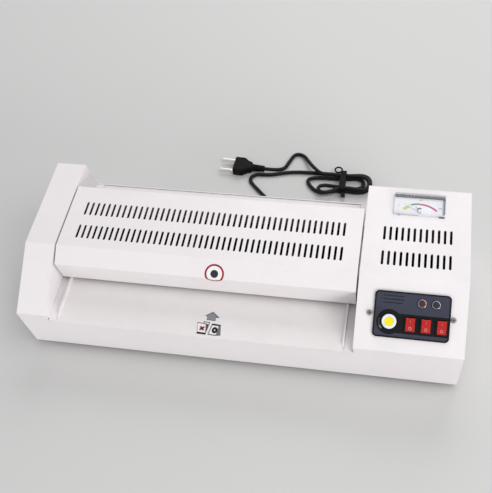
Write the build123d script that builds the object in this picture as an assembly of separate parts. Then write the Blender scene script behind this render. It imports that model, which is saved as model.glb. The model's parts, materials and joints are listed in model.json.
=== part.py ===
"""A table-top roller laminator.

It has a sheet-metal case, a hinged vented cover, four driven rollers, controls and a tied mains cord.

Millimetres, X along the machine from the plain end to the control end, Y from the feed side to the exit side,
Z up. The origin lies on the table, under the middle of the case. Places on the case are written as a distance
behind the front crease and a height above the underside of the base pan.
"""

from build123d import *
import math
import os

# Case, outside sizes
WIDTH = 500.0
DEPTH = 213.0
CASE_HEIGHT = 118.6
FOOT_HEIGHT = 8.0
SHEET = 1.2
SEAM = 0.15
LEFT_COVER = 35.2
RIGHT_HOUSING = 116.9

# Case profile, seen from the side
TOE = 12.4
HEEL = 8.0
CREASE = 74.9
SLOPE_DEPTH = 69.9
BACK_SLOPE = 16.4
FOLD_RADIUS = 1.8

# Table of the base pan between the two ends
DECK = 66.0
REAR_LIP = 0.2
RAIL = 9.5
TRAY_DROP = 0.8
TRAY_GAP = 0.3
TRAY_FRONT = 0.9
TRAY_REACH = 74.0
GUIDE_RISE = 4.8
GUIDE_THICK = 2.2
EXIT_TRAY_START = 152.0
GUIDE_START = 5.0
GUIDE_STOP = 8.0
GUIDE_SLOPE = 25.0
RELIEF_HOLE = 2.5

# Vented top cover
COVER_GAP = 2.0
LIP_DEPTH = 52.0
LIP_CREASE = 105.4
LIP_FOOT_DEPTH = 59.8
LIP_CLEAR = 4.5
LIP_HEM = 5.0
COVER_BACK = 161.3
TAIL_CLEAR = 6.0
FLAP_CLEAR = 0.3
VENT_WIDTH = 2.8
VENT_LENGTH = 19.8
VENT_PITCH = 6.61
VENTS = 47
HOUSING_VENTS = 12
VENT_ROWS = (92.6, 127.3)

# Hinge of the top cover
HINGE_DEPTH = 154.5
HINGE_RISE = 4.0
PIN_RADIUS = 2.5
EAR_RADIUS = 5.5
EAR_LENGTH = 16.0
EAR_GAP = 0.8
EAR_PLAY = 0.3
PIN_HEAD = 1.5
SWING_GAP = 0.8
RUNNING = 0.05

# Rollers, one pair at the heaters and one pair that pulls
ROLLER_RADIUS = 13.0
CORE_RADIUS = 10.0
SHAFT_RADIUS = 4.0
NIP_GAP = 0.3
FILM_RISE = 1.0
FRONT_NIP = 90.0
ROLLER_END = 8.8
SHAFT_TAIL = 5.0
BUSH_RADIUS = 7.0
BUSH_BLOCK = 17.0
BUSH_THICK = 4.6
SHOE_GAP = 1.2
SHOE_WALL = 3.3
THERMOSTATS = (-60.0, 60.0)
INSULATOR_RADIUS = 2.6
THERMOSTAT_RADIUS = 8.0
THERMOSTAT_HEIGHT = 7.0
SPRING_RADIUS = 2.0
SPRING_WIRE = 0.7
SPRING_TURNS = 4
SPRING_CLEAR = 0.3
SPRING_SEAT = 5.0

# Gear train at the control end
MODULE = 1.0
ROLLER_TEETH = 26
IDLER_TEETH = 24
PINION_TEETH = 12
GEAR_WIDTH = 6.0
GEAR_FROM_PLATE = 5.0
GEAR_HUB = 1.5
PRESSURE_ANGLE = 20.0
BACKLASH = 0.3
STUD_RADIUS = 3.0
MOTOR_RADIUS = 25.0
MOTOR_LENGTH = 22.0
MOTOR_DROP = 8.6
BRACKET_GAP = 4.0
BRACKET_THICK = 2.0

# Frame plates
PLATE_GAP = 1.0
PLATE_THICK = 2.0
PLATE_FRONT = 67.0
PLATE_BACK = 163.0
PLATE_ABOVE_FILM = 31.7
PLATE_FOOT = 14.0
PLATE_ARM_FRONT = 28.0
PLATE_ARM_INSET = 15.0
PLATE_ARM_HEIGHT = 14.0
PLATE_CORNERS = (11.0, 18.0, 16.0)
ROD_RADIUS = 4.0
ROD_NECK = 2.5
ROD_DROP = 6.3
ROD_FRONT = 36.0
ROD_MIDDLE = (115.0, 14.0)
ROD_BACK = 23.0

# Control panel, measured up the slope from the front crease
CONTROLS_INSET = 57.7
PANEL_WIDTH = 80.4
PANEL_LENGTH = 49.7
PANEL_FOOT = 15.3
PANEL_THICK = 2.0
PANEL_CORNER = 4.5
PANEL_LAP = 2.0
PANEL_RECESS = 0.6
SWITCH_ROW = 31.2
SWITCH_PITCH = 16.5
FIRST_SWITCH = -1.1
SWITCH_FRAME = (12.8, 18.4)
SWITCH_BODY = (11.2, 17.2)
SWITCH_DEPTH = 14.0
FRAME_RISE = 1.4
PADDLE = (9.6, 14.4)
PADDLE_PLAY = 0.25
PADDLE_TILT = 10.0
PADDLE_RISE = 5.2
PADDLE_DIP = 1.2
PADDLE_SIDE = 0.6
PADDLE_KEEL = 1.5
PADDLE_DROP = 1.8
PADDLE_WELL = 5.0
PADDLE_PIVOT = 0.4
LAMP_ROW = 54.1
LAMPS = (9.8, 24.5)
BEZEL_RADIUS = 4.75
BEZEL_NECK = 4.2
LENS_RADIUS = 3.5
KNOB_AT = (-23.5, 32.1)
KNOB_RADIUS = 7.75
KNOB_HEIGHT = 9.0
KNOB_LEVEL = 1.9
KNOB_SKIRT = 2.2
KNOB_REST = 40.0
CAP_SEAT = 1.2
POT_NECK = 3.6
POT_DEPTH = 9.0
CAP_RADIUS = 4.9
PANEL_SCREWS = (-44.6, 43.6)
PANEL_SCREW_ROW = 40.0

# Temperature meter on the roof of the control housing
METER_WIDTH = 60.0
METER_DEPTH = 31.0
METER_HEIGHT = 6.0
METER_INSET = 25.9
METER_WALL = 1.2
METER_NECK = 5.9
METER_BASE = 2.0
DIAL_THICK = 0.8
DIAL_MARGIN = 0.5
NEEDLE_PIVOT = 3.4
NEEDLE_LENGTH = 16.5
NEEDLE_TAIL = 1.6
NEEDLE_REST = 60.0
NEEDLE_PIN = 0.8
NEEDLE_LIFT = 0.3

# Control board
BOARD_FROM_BACK = 53.0

# Feet and fasteners
FOOT_RADIUS = 10.0
FOOT_INSET_X = 30.0
FOOT_FRONT = 34.0
FOOT_BACK = 31.0
SCREW_RADIUS = 1.5
HEAD_RADIUS = 3.0
HEAD_HEIGHT = 2.0
SCREW_LENGTH = 7.0
SIDE_SCREW_FRONT = 40.0
SIDE_SCREW_BACK = 35.0
SIDE_SCREW_HEIGHT = 12.0

# Mains cord
CORD = 5.0
GLAND_FROM_RIGHT = 75.0
GLAND_HEIGHT = 22.0
GLAND_LENGTH = 28.0
GLAND_TIP = 3.6
GLAND_NECK = 6.0
GLAND_FLANGE = 9.0
PIN_SPACING = 19.0
PLUG_PIN = 19.0
PLUG_PIN_RADIUS = 2.2
PLUG_THICK = 12.0
PLUG_WIDTH = 26.0
PLUG_BODY = 42.8
PLUG_NECK = 17.0
NECK_START = 4.2
NECK_END = 5.6
PLUG_SHOULDER = 27.0
PLUG_TURN = 177.0
TIE_WIDTH = 8.0
TIE_THICK = 0.6
TIE_PLAY = 0.9
TIE_LIFT = 0.1
TIE_LOOP = 4.8

# Worked out from the sizes above
LEFT = -WIDTH / 2
RIGHT = WIDTH / 2
LEFT_WALL = LEFT + LEFT_COVER
RIGHT_WALL = RIGHT - RIGHT_HOUSING
FRONT = -DEPTH / 2
REAR_CREASE = DECK + REAR_LIP
TRAY_LEVEL = DECK - TRAY_DROP
LIP_FOOT = DECK + LIP_CLEAR
COVER_TAIL = DECK + TAIL_CLEAR
HINGE_HEIGHT = COVER_TAIL + HINGE_RISE
FILM_LEVEL = DECK + FILM_RISE
PLATE_TOP = FILM_LEVEL + PLATE_ABOVE_FILM
FLAP_FOOT = PLATE_TOP + FLAP_CLEAR
PLATE_ARM_BACK = DEPTH - PLATE_ARM_INSET
PLATE_ARM_LOW = DECK - PLATE_ARM_HEIGHT
ROD_PLACES = ((ROD_FRONT, DECK - ROD_DROP), ROD_MIDDLE, (DEPTH - ROD_BACK, DECK - ROD_DROP))
FOOT_PLACES = (FOOT_FRONT, DEPTH - FOOT_BACK)
SIDE_SCREWS = (SIDE_SCREW_FRONT, DEPTH - SIDE_SCREW_BACK)
METER_MIDDLE = DEPTH - BACK_SLOPE - METER_INSET
SLOPE_ANGLE = math.atan2(CASE_HEIGHT - CREASE, SLOPE_DEPTH)
REAR_NIP = FRONT_NIP + MODULE * (ROLLER_TEETH + IDLER_TEETH)
LOWER_AXIS = FILM_LEVEL - NIP_GAP / 2 - ROLLER_RADIUS
UPPER_AXIS = FILM_LEVEL + NIP_GAP / 2 + ROLLER_RADIUS
IDLER_DEPTH = FRONT_NIP + MODULE * (ROLLER_TEETH + IDLER_TEETH) / 2
PINION_AXIS = LOWER_AXIS - MODULE * (IDLER_TEETH + PINION_TEETH) / 2
LEFT_PLATE = LEFT_WALL + PLATE_GAP
RIGHT_PLATE = RIGHT_WALL - PLATE_GAP
ROLLER_LEFT = LEFT_WALL + ROLLER_END
ROLLER_RIGHT = RIGHT_WALL - ROLLER_END
SHOE_LEFT = ROLLER_LEFT
SHOE_RIGHT = ROLLER_RIGHT
GEAR_LEFT = RIGHT_PLATE + GEAR_FROM_PLATE
BRACKET_LEFT = GEAR_LEFT + GEAR_WIDTH + BRACKET_GAP
CONTROLS_X = RIGHT - CONTROLS_INSET
SLOPE = Plane(
    origin=(CONTROLS_X, FRONT, FOOT_HEIGHT + CREASE),
    x_dir=(1, 0, 0),
    z_dir=(0, -math.sin(SLOPE_ANGLE), math.cos(SLOPE_ANGLE)),
)
SIDE = Plane(origin=(0, FRONT, FOOT_HEIGHT), x_dir=(0, 1, 0), z_dir=(1, 0, 0))
CASE_PROFILE = [
    (TOE, 0.0),
    (0.0, CREASE),
    (SLOPE_DEPTH, CASE_HEIGHT),
    (DEPTH - BACK_SLOPE, CASE_HEIGHT),
    (DEPTH, REAR_CREASE),
    (DEPTH - HEEL, 0.0),
]
COVER_PROFILE = [
    (LIP_FOOT_DEPTH, LIP_FOOT),
    (LIP_DEPTH, LIP_CREASE),
    (SLOPE_DEPTH, CASE_HEIGHT),
    (COVER_BACK, CASE_HEIGHT),
    (COVER_BACK, COVER_TAIL),
]


# Small helpers

def outline(points, radius=0.0):
    """A closed face through the points, with every corner rounded when a radius is given."""
    if radius:
        return make_face(FilletPolyline(*points, radius=radius, close=True))
    return make_face(Polyline(*points, close=True))


def across(face, start, end):
    """A side-view face carried along X from start to end."""
    return extrude(SIDE.offset(start) * face, amount=end - start)


def slab(x0, x1, depth0, depth1, low, high):
    """A box between two X places, two depths behind the crease and two heights above the pan."""
    size = (x1 - x0, depth1 - depth0, high - low)
    middle = ((x0 + x1) / 2, FRONT + (depth0 + depth1) / 2, FOOT_HEIGHT + (low + high) / 2)
    return Pos(*middle) * Box(*size)


def rod(x0, x1, depth, height, radius):
    """A round bar along X."""
    return across(Pos(depth, height) * Circle(radius), x0, x1)


def on_slope(x, up, height):
    """A place on the sloped face, right of the panel's middle, up the slope and above the sheet."""
    return SLOPE * Pos(x, up, height)


def on_case(x, depth, height):
    """A place given by X, the distance behind the crease and the height above the pan."""
    return Pos(x, FRONT + depth, FOOT_HEIGHT + height)


def strip(start, end, thick, extra=0.0):
    """A side-view strip of the given thickness. Its left edge, seen from start to end, is the line itself."""
    run = Vector(*end) - Vector(*start)
    along = run.normalized()
    side = Vector(along.Y, -along.X) * thick
    first = Vector(*start) - along * extra
    last = Vector(*end)
    return outline([(p.X, p.Y) for p in (first, last, last + side, first + side)])


def front_strip(thick, top, extra=0.0):
    """The strip of the leaning front wall, up to a height."""
    return strip((TOE, 0.0), (TOE * (1 - top / CREASE), top), thick, extra)


def rear_strip(thick, top, extra=0.0):
    """The strip of the leaning rear wall, up to a height."""
    foot = (DEPTH - HEEL, 0.0)
    crest = (DEPTH - HEEL + HEEL * top / REAR_CREASE, top)
    return strip(foot, crest, -thick, extra)


def clear_of_pan(shell, x0, x1):
    """Take away what the base pan's walls and floor fill, with the seam beside them."""
    reach = SHEET + SEAM
    shell -= across(front_strip(reach, CREASE, 5), x0 - 1, x1 + 1)
    shell -= across(rear_strip(reach, REAR_CREASE, 5), x0 - 1, x1 + 1)
    return shell - slab(x0 - 1, x1 + 1, -1, DEPTH + 1, -1, reach)


def end_shell(x0, x1, wall0, wall1):
    """One end's cover, open below: roof, slope, back slope, an outer wall and a wall towards the rollers.

    wall0 to wall1 is the X span of the wall towards the rollers, which stops at the deck.
    """
    profile = outline(CASE_PROFILE)
    inner = offset(profile, amount=-SHEET, kind=Kind.INTERSECTION)
    shell = across(outline(CASE_PROFILE, FOLD_RADIUS), x0, x1)
    shell -= across(inner, x0 + SHEET, x1 - SHEET)
    shell = clear_of_pan(shell, x0, x1)
    shell -= slab(x0 + SHEET, x1 - SHEET, -1, DEPTH + 1, -1, REAR_CREASE / 2)
    shell -= slab(wall0 - 0.5, wall1 + 0.5, -1, DEPTH + 1, -1, DECK + SEAM)
    arch = (PLATE_FRONT - 3, PLATE_BACK - 3, DECK - 1, PLATE_TOP - 6)
    return shell - slab(wall0 - 0.5, wall1 + 0.5, *arch)


def vents(count, centre, top):
    """Two rows of slots with round ends, as one cutter through the sheet."""
    first = centre - (count - 1) * VENT_PITCH / 2
    places = [(first + i * VENT_PITCH, FRONT + row) for row in VENT_ROWS for i in range(count)]
    slot = SlotOverall(VENT_LENGTH, VENT_WIDTH, rotation=90)
    rows = Sketch() + [Pos(x, y) * slot for x, y in places]
    return extrude(Pos(0, 0, FOOT_HEIGHT + top - 2 * SHEET) * rows, amount=4 * SHEET)


# Case

def left_end_cover():
    """The plain cover over the left ends of the rollers."""
    shell = end_shell(LEFT, LEFT_WALL, LEFT_WALL - SHEET, LEFT_WALL)
    return shell - screw_holes(LEFT)


def right_housing():
    """The wide cover over the gears and the controls, with its vents and the opening under the panel."""
    shell = end_shell(RIGHT_WALL, RIGHT, RIGHT_WALL, RIGHT_WALL + SHEET)
    shell -= vents(HOUSING_VENTS, CONTROLS_X, CASE_HEIGHT)
    opening = (PANEL_WIDTH - 2 * PANEL_LAP, PANEL_LENGTH - 2 * PANEL_LAP, 6 * SHEET)
    shell -= on_slope(0, PANEL_FOOT + PANEL_LENGTH / 2, 0) * Box(*opening)
    for x in PANEL_SCREWS:
        shell -= on_slope(x, PANEL_SCREW_ROW, 0) * Cylinder(SCREW_RADIUS + RUNNING, 6 * SHEET)
    shell -= on_case(CONTROLS_X, METER_MIDDLE, CASE_HEIGHT) * Cylinder(METER_NECK + 2 * RUNNING, 6 * SHEET)
    return shell - screw_holes(RIGHT)


def screw_holes(wall):
    """Clearance holes of the two screws in an outer wall."""
    cutter = Part()
    for depth in SIDE_SCREWS:
        cutter += rod(wall - 4 * SHEET, wall + 4 * SHEET, depth, SIDE_SCREW_HEIGHT, SCREW_RADIUS + RUNNING)
    return cutter


def base_pan():
    """Floor, leaning front apron and rear wall in one folded sheet, with the rails of the deck."""
    floor = slab(LEFT, RIGHT, TOE, DEPTH - HEEL, 0, SHEET)
    apron = across(front_strip(SHEET, CREASE), LEFT, RIGHT)
    apron -= slab(LEFT_WALL, RIGHT_WALL, -5, 20, TRAY_LEVEL - SHEET, CREASE + 5)
    rear = across(rear_strip(SHEET, REAR_CREASE), LEFT, RIGHT)
    pan = floor + apron + rear
    for x0, x1 in ((LEFT_WALL - SHEET, LEFT_WALL + RAIL), (RIGHT_WALL - RAIL, RIGHT_WALL + SHEET)):
        rail = slab(x0, x1, TOE * (1 - DECK / CREASE), DEPTH - SHEET / 2, DECK - SHEET, DECK)
        lip = TOE * (1 - DECK / CREASE) + SHEET / 2
        rail -= slab(x0 - 1, x1 + 1, -5, lip, DECK - 2 * SHEET, TRAY_LEVEL - SHEET)
        pan += rail
    for x in (LEFT_WALL, RIGHT_WALL):
        corner = on_case(x, TOE * (1 - TRAY_LEVEL / CREASE), TRAY_LEVEL)
        pan -= corner * Rot(90, 0, 0) * Cylinder(RELIEF_HOLE / 2, 4 * SHEET)
    bay = (PLATE_FRONT - SEAM, PLATE_BACK + SEAM, DECK - 2 * SHEET, DECK + 1)
    pan -= slab(LEFT_PLATE - SEAM, RIGHT_PLATE + SEAM, *bay)
    for wall, way in ((LEFT, 1), (RIGHT, -1)):
        sides = sorted((wall + way * (SHEET + SEAM), wall + way * (2 * SHEET + SEAM)))
        flange = slab(*sides, SIDE_SCREWS[0] - 12, SIDE_SCREWS[1] + 12, 0, 2 * SIDE_SCREW_HEIGHT)
        pan += flange - screw_holes(wall)
    for x, depth in foot_places():
        pan -= on_case(x, depth, 0) * Cylinder(SCREW_RADIUS + RUNNING, 4 * SHEET)
    slots = [(x, row) for x in range(-150, 101, 50) for row in (80.0, 150.0)]
    for x, row in slots:
        pan -= Pos(x, FRONT + row, FOOT_HEIGHT) * extrude(SlotOverall(34, 4), amount=SHEET, both=True)
    return pan - gland_place() * Cylinder(GLAND_NECK, 8 * SHEET)


def foot_places():
    """Middle of each foot, in X and distance behind the crease."""
    return [(x, depth) for x in (LEFT + FOOT_INSET_X, RIGHT - FOOT_INSET_X) for depth in FOOT_PLACES]


def tray(depth0, depth1, guide0, guide1):
    """A flat table plate between the rails, with turned-up side guides over a part of its depth."""
    x0 = LEFT_WALL + RAIL + TRAY_GAP
    x1 = RIGHT_WALL - RAIL - TRAY_GAP
    plate = slab(x0, x1, depth0, depth1, TRAY_LEVEL - SHEET, TRAY_LEVEL)
    for start, end in ((x0, x0 + GUIDE_THICK), (x1 - GUIDE_THICK, x1)):
        plate += slab(start, end, guide0, guide1, TRAY_LEVEL - SHEET, TRAY_LEVEL + GUIDE_RISE)
    return plate


def feed_tray():
    """The table that the pouch is fed over, on the apron's edge, with guides that slope down to its front."""
    start = TRAY_FRONT + GUIDE_START
    run = GUIDE_RISE / math.tan(math.radians(GUIDE_SLOPE))
    slope = [
        (start - 1, TRAY_LEVEL),
        (start, TRAY_LEVEL),
        (start + run, TRAY_LEVEL + GUIDE_RISE),
        (start + run, TRAY_LEVEL + GUIDE_RISE + 1),
        (start - 1, TRAY_LEVEL + GUIDE_RISE + 1),
    ]
    table = tray(TRAY_FRONT, TRAY_REACH, start, TRAY_REACH)
    return table - across(outline(slope), LEFT_WALL, RIGHT_WALL)


def exit_tray():
    """The table behind the rollers. Its guides start where the opening cover swings clear."""
    end = DEPTH - HEEL + HEEL * (TRAY_LEVEL - SHEET) / REAR_CREASE - SHEET - 2 * SEAM
    swing = math.hypot(COVER_BACK - HINGE_DEPTH, HINGE_HEIGHT - COVER_TAIL)
    return tray(EXIT_TRAY_START, end, HINGE_DEPTH + swing + SWING_GAP, end - GUIDE_STOP)


def top_cover():
    """The hinged cover: a folded, vented sheet with a lip over the feed slot, end flaps and ears."""
    x0 = LEFT_WALL + COVER_GAP
    x1 = RIGHT_WALL - COVER_GAP
    inner = offset(outline(COVER_PROFILE), amount=-SHEET, kind=Kind.INTERSECTION)
    cover = across(outline(COVER_PROFILE, FOLD_RADIUS), x0, x1) - across(inner, x0 + SHEET, x1 - SHEET)
    hem = LIP_FOOT_DEPTH + LIP_HEM
    cover -= slab(x0 + SHEET, x1 - SHEET, hem, COVER_BACK - SHEET, LIP_FOOT - 3, COVER_TAIL + 3)
    notch = PLATE_GAP + PLATE_THICK + EAR_GAP
    for start, end in ((x0 - 1, x0 + SHEET), (x1 - SHEET, x1 + 1)):
        cover -= slab(start, end, hem, COVER_BACK - SHEET, LIP_FOOT - 3, FLAP_FOOT)
    for start, end in ((x0 - 1, LEFT_WALL + notch), (RIGHT_WALL - notch, x1 + 1)):
        cover -= slab(start, end, COVER_BACK - SHEET, COVER_BACK + 1, COVER_TAIL - 5, FLAP_FOOT)
    for start in (LEFT_WALL + notch, RIGHT_WALL - notch - SHEET):
        end = start + SHEET
        ear = slab(start, end, HINGE_DEPTH, COVER_BACK - SHEET, COVER_TAIL, COVER_TAIL + EAR_LENGTH)
        ear += rod(start, end, HINGE_DEPTH, HINGE_HEIGHT, EAR_RADIUS)
        cover += ear - rod(start - 1, end + 1, HINGE_DEPTH, HINGE_HEIGHT, PIN_RADIUS + RUNNING)
    return cover - vents(VENTS, (x0 + x1) / 2, CASE_HEIGHT)


def hinge_pins():
    """Two headed pins, each through a side plate and an ear of the top cover."""
    pins = Part()
    reach = PLATE_THICK + EAR_GAP + SHEET + EAR_PLAY
    for start, way in ((LEFT_PLATE, 1), (RIGHT_PLATE, -1)):
        ends = sorted((start, start + way * (reach + SHEET)))
        head = sorted((start + way * reach, start + way * (reach + SHEET)))
        pins += rod(*ends, HINGE_DEPTH, HINGE_HEIGHT, PIN_RADIUS)
        pins += rod(*head, HINGE_DEPTH, HINGE_HEIGHT, PIN_RADIUS + PIN_HEAD)
    return pins


def feet():
    """Four rubber feet, tapered, with a sunk seat for the screw."""
    group = Part()
    for x, depth in foot_places():
        foot = on_case(x, depth, -FOOT_HEIGHT / 2) * Cone(FOOT_RADIUS - 1.5, FOOT_RADIUS, FOOT_HEIGHT)
        foot -= on_case(x, depth, -FOOT_HEIGHT / 2) * Cylinder(SCREW_RADIUS + RUNNING, FOOT_HEIGHT + 1)
        foot -= on_case(x, depth, -FOOT_HEIGHT) * Cylinder(HEAD_RADIUS + 1.5, FOOT_HEIGHT)
        group += foot
    return group


def screw():
    """A pan-head screw along Z, with the underside of its head at zero and its shank below."""
    shank = Pos(0, 0, -SCREW_LENGTH / 2) * Cylinder(SCREW_RADIUS, SCREW_LENGTH)
    head = Pos(0, 0, HEAD_HEIGHT / 2) * Cylinder(HEAD_RADIUS, HEAD_HEIGHT)
    head = fillet(head.edges().sort_by(Axis.Z)[-1], HEAD_HEIGHT * 0.45)
    slot = Pos(0, 0, HEAD_HEIGHT) * (Box(3.4, 0.7, 1.4) + Box(0.7, 3.4, 1.4))
    return head + shank - slot


def case_screws():
    """All the case's screws: two beside the panel, two in each outer wall and one under each foot."""
    group = Part()
    for x in PANEL_SCREWS:
        group += on_slope(x, PANEL_SCREW_ROW, 0) * screw()
    for depth in SIDE_SCREWS:
        group += on_case(RIGHT, depth, SIDE_SCREW_HEIGHT) * Rot(0, 90, 0) * screw()
        group += on_case(LEFT, depth, SIDE_SCREW_HEIGHT) * Rot(0, -90, 0) * screw()
    for x, depth in foot_places():
        group += on_case(x, depth, -FOOT_HEIGHT / 2) * Rot(180, 0, 0) * screw()
    return group


# Frame and rollers

def side_plate(x0, inward):
    """A frame plate with its foot flange, the bush holes, the rod holes and the hinge hole."""
    x1 = x0 + PLATE_THICK
    cut, front_drop, back_drop = PLATE_CORNERS
    face = outline(
        [
            (PLATE_FRONT, SHEET),
            (PLATE_FRONT, PLATE_TOP - front_drop),
            (PLATE_FRONT + cut, PLATE_TOP),
            (PLATE_BACK - cut, PLATE_TOP),
            (PLATE_BACK, PLATE_TOP - back_drop),
            (PLATE_BACK, SHEET),
        ]
    )
    plate = across(face, x0, x1)
    foot = (x1, x1 + PLATE_FOOT) if inward > 0 else (x0 - PLATE_FOOT, x0)
    plate += slab(*foot, PLATE_FRONT, PLATE_BACK, SHEET, SHEET + PLATE_THICK)
    for start, end in ((PLATE_ARM_FRONT, PLATE_FRONT), (PLATE_BACK, PLATE_ARM_BACK)):
        plate += slab(x0, x1, start, end, PLATE_ARM_LOW, DECK - SHEET - SEAM)
    tab = (x1, x1 + SPRING_SEAT) if inward > 0 else (x0 - SPRING_SEAT, x0)
    for depth in (FRONT_NIP, REAR_NIP):
        plate += slab(*tab, depth - 6, depth + 6, PLATE_TOP - PLATE_THICK, PLATE_TOP)
        for height in (LOWER_AXIS, UPPER_AXIS):
            plate -= rod(x0 - 1, x1 + 1, depth, height, BUSH_RADIUS)
    for depth, height in ROD_PLACES:
        plate -= rod(x0 - 1, x1 + 1, depth, height, ROD_NECK)
    return plate - rod(x0 - 1, x1 + 1, HINGE_DEPTH, HINGE_HEIGHT, PIN_RADIUS)


def tie_rods():
    """Round bars that hold the side plates apart, necked into their holes."""
    group = Part()
    for depth, height in ROD_PLACES:
        group += rod(LEFT_PLATE + PLATE_THICK, RIGHT_PLATE - PLATE_THICK, depth, height, ROD_RADIUS)
        group += rod(LEFT_PLATE, RIGHT_PLATE, depth, height, ROD_NECK)
    return group


def roller_bushes():
    """Eight bushes, each with a square block on the inner face of its side plate."""
    group = Part()
    for plate, way in ((LEFT_PLATE + PLATE_THICK, 1), (RIGHT_PLATE - PLATE_THICK, -1)):
        block = sorted((plate, plate + way * BUSH_THICK))
        neck = sorted((plate, plate - way * PLATE_THICK))
        for depth in (FRONT_NIP, REAR_NIP):
            for height in (LOWER_AXIS, UPPER_AXIS):
                half = BUSH_BLOCK / 2
                bush = slab(*block, depth - half, depth + half, height - half, height + half)
                bush += rod(*neck, depth, height, BUSH_RADIUS)
                bore = rod(block[0] - 3, block[1] + 3, depth, height, SHAFT_RADIUS + RUNNING)
                group += bush - bore
    return group


def pressure_springs():
    """Four coil springs that press the upper bushes down, each one tube with its turns."""
    low = UPPER_AXIS + BUSH_BLOCK / 2 + SPRING_WIRE / 2 + SPRING_CLEAR
    high = PLATE_TOP - PLATE_THICK - SPRING_WIRE / 2 - SPRING_CLEAR
    coil = Helix(pitch=(high - low) / SPRING_TURNS, height=high - low, radius=SPRING_RADIUS)
    wire = sweep(Plane(origin=coil @ 0, z_dir=coil % 0) * Circle(SPRING_WIRE / 2), path=coil, is_frenet=True)
    group = Part()
    for x in (LEFT_PLATE + PLATE_THICK + SPRING_SEAT / 2, RIGHT_PLATE - PLATE_THICK - SPRING_SEAT / 2):
        for depth in (FRONT_NIP, REAR_NIP):
            group += on_case(x, depth, low) * wire
    return group


def roller_shaft(depth, height):
    """A roller's turned core with its two journals, the right one long enough for the gear."""
    shaft = rod(ROLLER_LEFT, ROLLER_RIGHT, depth, height, CORE_RADIUS)
    end = GEAR_LEFT + GEAR_WIDTH + GEAR_HUB
    return shaft + rod(LEFT_PLATE - SHAFT_TAIL, end, depth, height, SHAFT_RADIUS)


def roller_sleeve(depth, height):
    """The rubber on a roller, with its ends broken."""
    core = Pos(depth, height) * Circle(CORE_RADIUS)
    sleeve = rod(ROLLER_LEFT, ROLLER_RIGHT, depth, height, ROLLER_RADIUS)
    sleeve = chamfer(sleeve.edges().filter_by(GeomType.CIRCLE), 0.8)
    return sleeve - across(core, ROLLER_LEFT - 1, ROLLER_RIGHT + 1)


def gear_face(teeth, phase):
    """A gear's outline with involute flanks, one tooth centred at the phase angle in degrees."""
    pitch = MODULE * teeth / 2
    pressure = math.radians(PRESSURE_ANGLE)
    base = pitch * math.cos(pressure)
    root = pitch - 1.25 * MODULE
    tip = pitch + 0.95 * MODULE
    half_pitch = (math.pi * MODULE / 2 - BACKLASH) / (2 * pitch)

    def half_angle(radius):
        angle = math.acos(min(1.0, base / radius))
        return half_pitch + math.tan(pressure) - pressure - math.tan(angle) + angle

    flank = [(root, half_angle(max(root, base))), (pitch, half_pitch), (tip, half_angle(tip))]
    points = []
    for tooth in range(teeth):
        centre = math.radians(phase) + 2 * math.pi * tooth / teeth
        rising = [(radius, centre - half) for radius, half in flank]
        falling = [(radius, centre + half) for radius, half in reversed(flank)]
        points += [(r * math.cos(a), r * math.sin(a)) for r, a in rising + falling]
    return outline(points)


def gear(teeth, phase, depth, height, bore):
    """A spur gear in the plane of the train, with its hub towards the control end."""
    body = across(Pos(depth, height) * gear_face(teeth, phase), GEAR_LEFT, GEAR_LEFT + GEAR_WIDTH)
    hub = rod(GEAR_LEFT, GEAR_LEFT + GEAR_WIDTH + GEAR_HUB, depth, height, bore + 2)
    return body + hub - rod(GEAR_LEFT - 1, GEAR_LEFT + GEAR_WIDTH + 9, depth, height, bore)


def idler_gear():
    """The gear that joins the two lower rollers, free on its stud."""
    return gear(IDLER_TEETH, 180 / IDLER_TEETH, IDLER_DEPTH, LOWER_AXIS, STUD_RADIUS + RUNNING)


def motor_pinion():
    """The pinion with the motor's output shaft."""
    pinion = gear(PINION_TEETH, 0, IDLER_DEPTH, PINION_AXIS, STUD_RADIUS)
    shaft = rod(GEAR_LEFT, BRACKET_LEFT + BRACKET_THICK + 6, IDLER_DEPTH, PINION_AXIS, STUD_RADIUS)
    return pinion + shaft


def motor_bracket():
    """An upright plate on a foot that carries the gear motor and the idler's stud."""
    x0 = BRACKET_LEFT
    x1 = x0 + BRACKET_THICK
    plate = slab(x0, x1, IDLER_DEPTH - 29, IDLER_DEPTH + 29, SHEET, LOWER_AXIS + 8)
    plate += slab(x0 - 12, x0, IDLER_DEPTH - 29, IDLER_DEPTH + 29, SHEET, SHEET + BRACKET_THICK)
    plate -= rod(x0 - 1, x1 + 1, IDLER_DEPTH, PINION_AXIS, STUD_RADIUS + 1)
    stud = rod(GEAR_LEFT - SHEET, x1, IDLER_DEPTH, LOWER_AXIS, STUD_RADIUS)
    stud += rod(GEAR_LEFT - SHEET - 1, GEAR_LEFT - SHEET, IDLER_DEPTH, LOWER_AXIS, STUD_RADIUS + 1.5)
    return plate + stud


def gear_motor():
    """A flat synchronous motor with its gear case, its shaft bore off its middle."""
    x0 = BRACKET_LEFT + BRACKET_THICK
    middle = PINION_AXIS - MOTOR_DROP
    body = rod(x0, x0 + MOTOR_LENGTH, IDLER_DEPTH, middle, MOTOR_RADIUS)
    body = chamfer(body.edges().filter_by(GeomType.CIRCLE), 1.0)
    body += rod(x0 + MOTOR_LENGTH, x0 + MOTOR_LENGTH + 4, IDLER_DEPTH, middle, MOTOR_RADIUS / 2)
    return body - rod(x0 - 1, x0 + 7, IDLER_DEPTH, PINION_AXIS, STUD_RADIUS + RUNNING)


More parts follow.
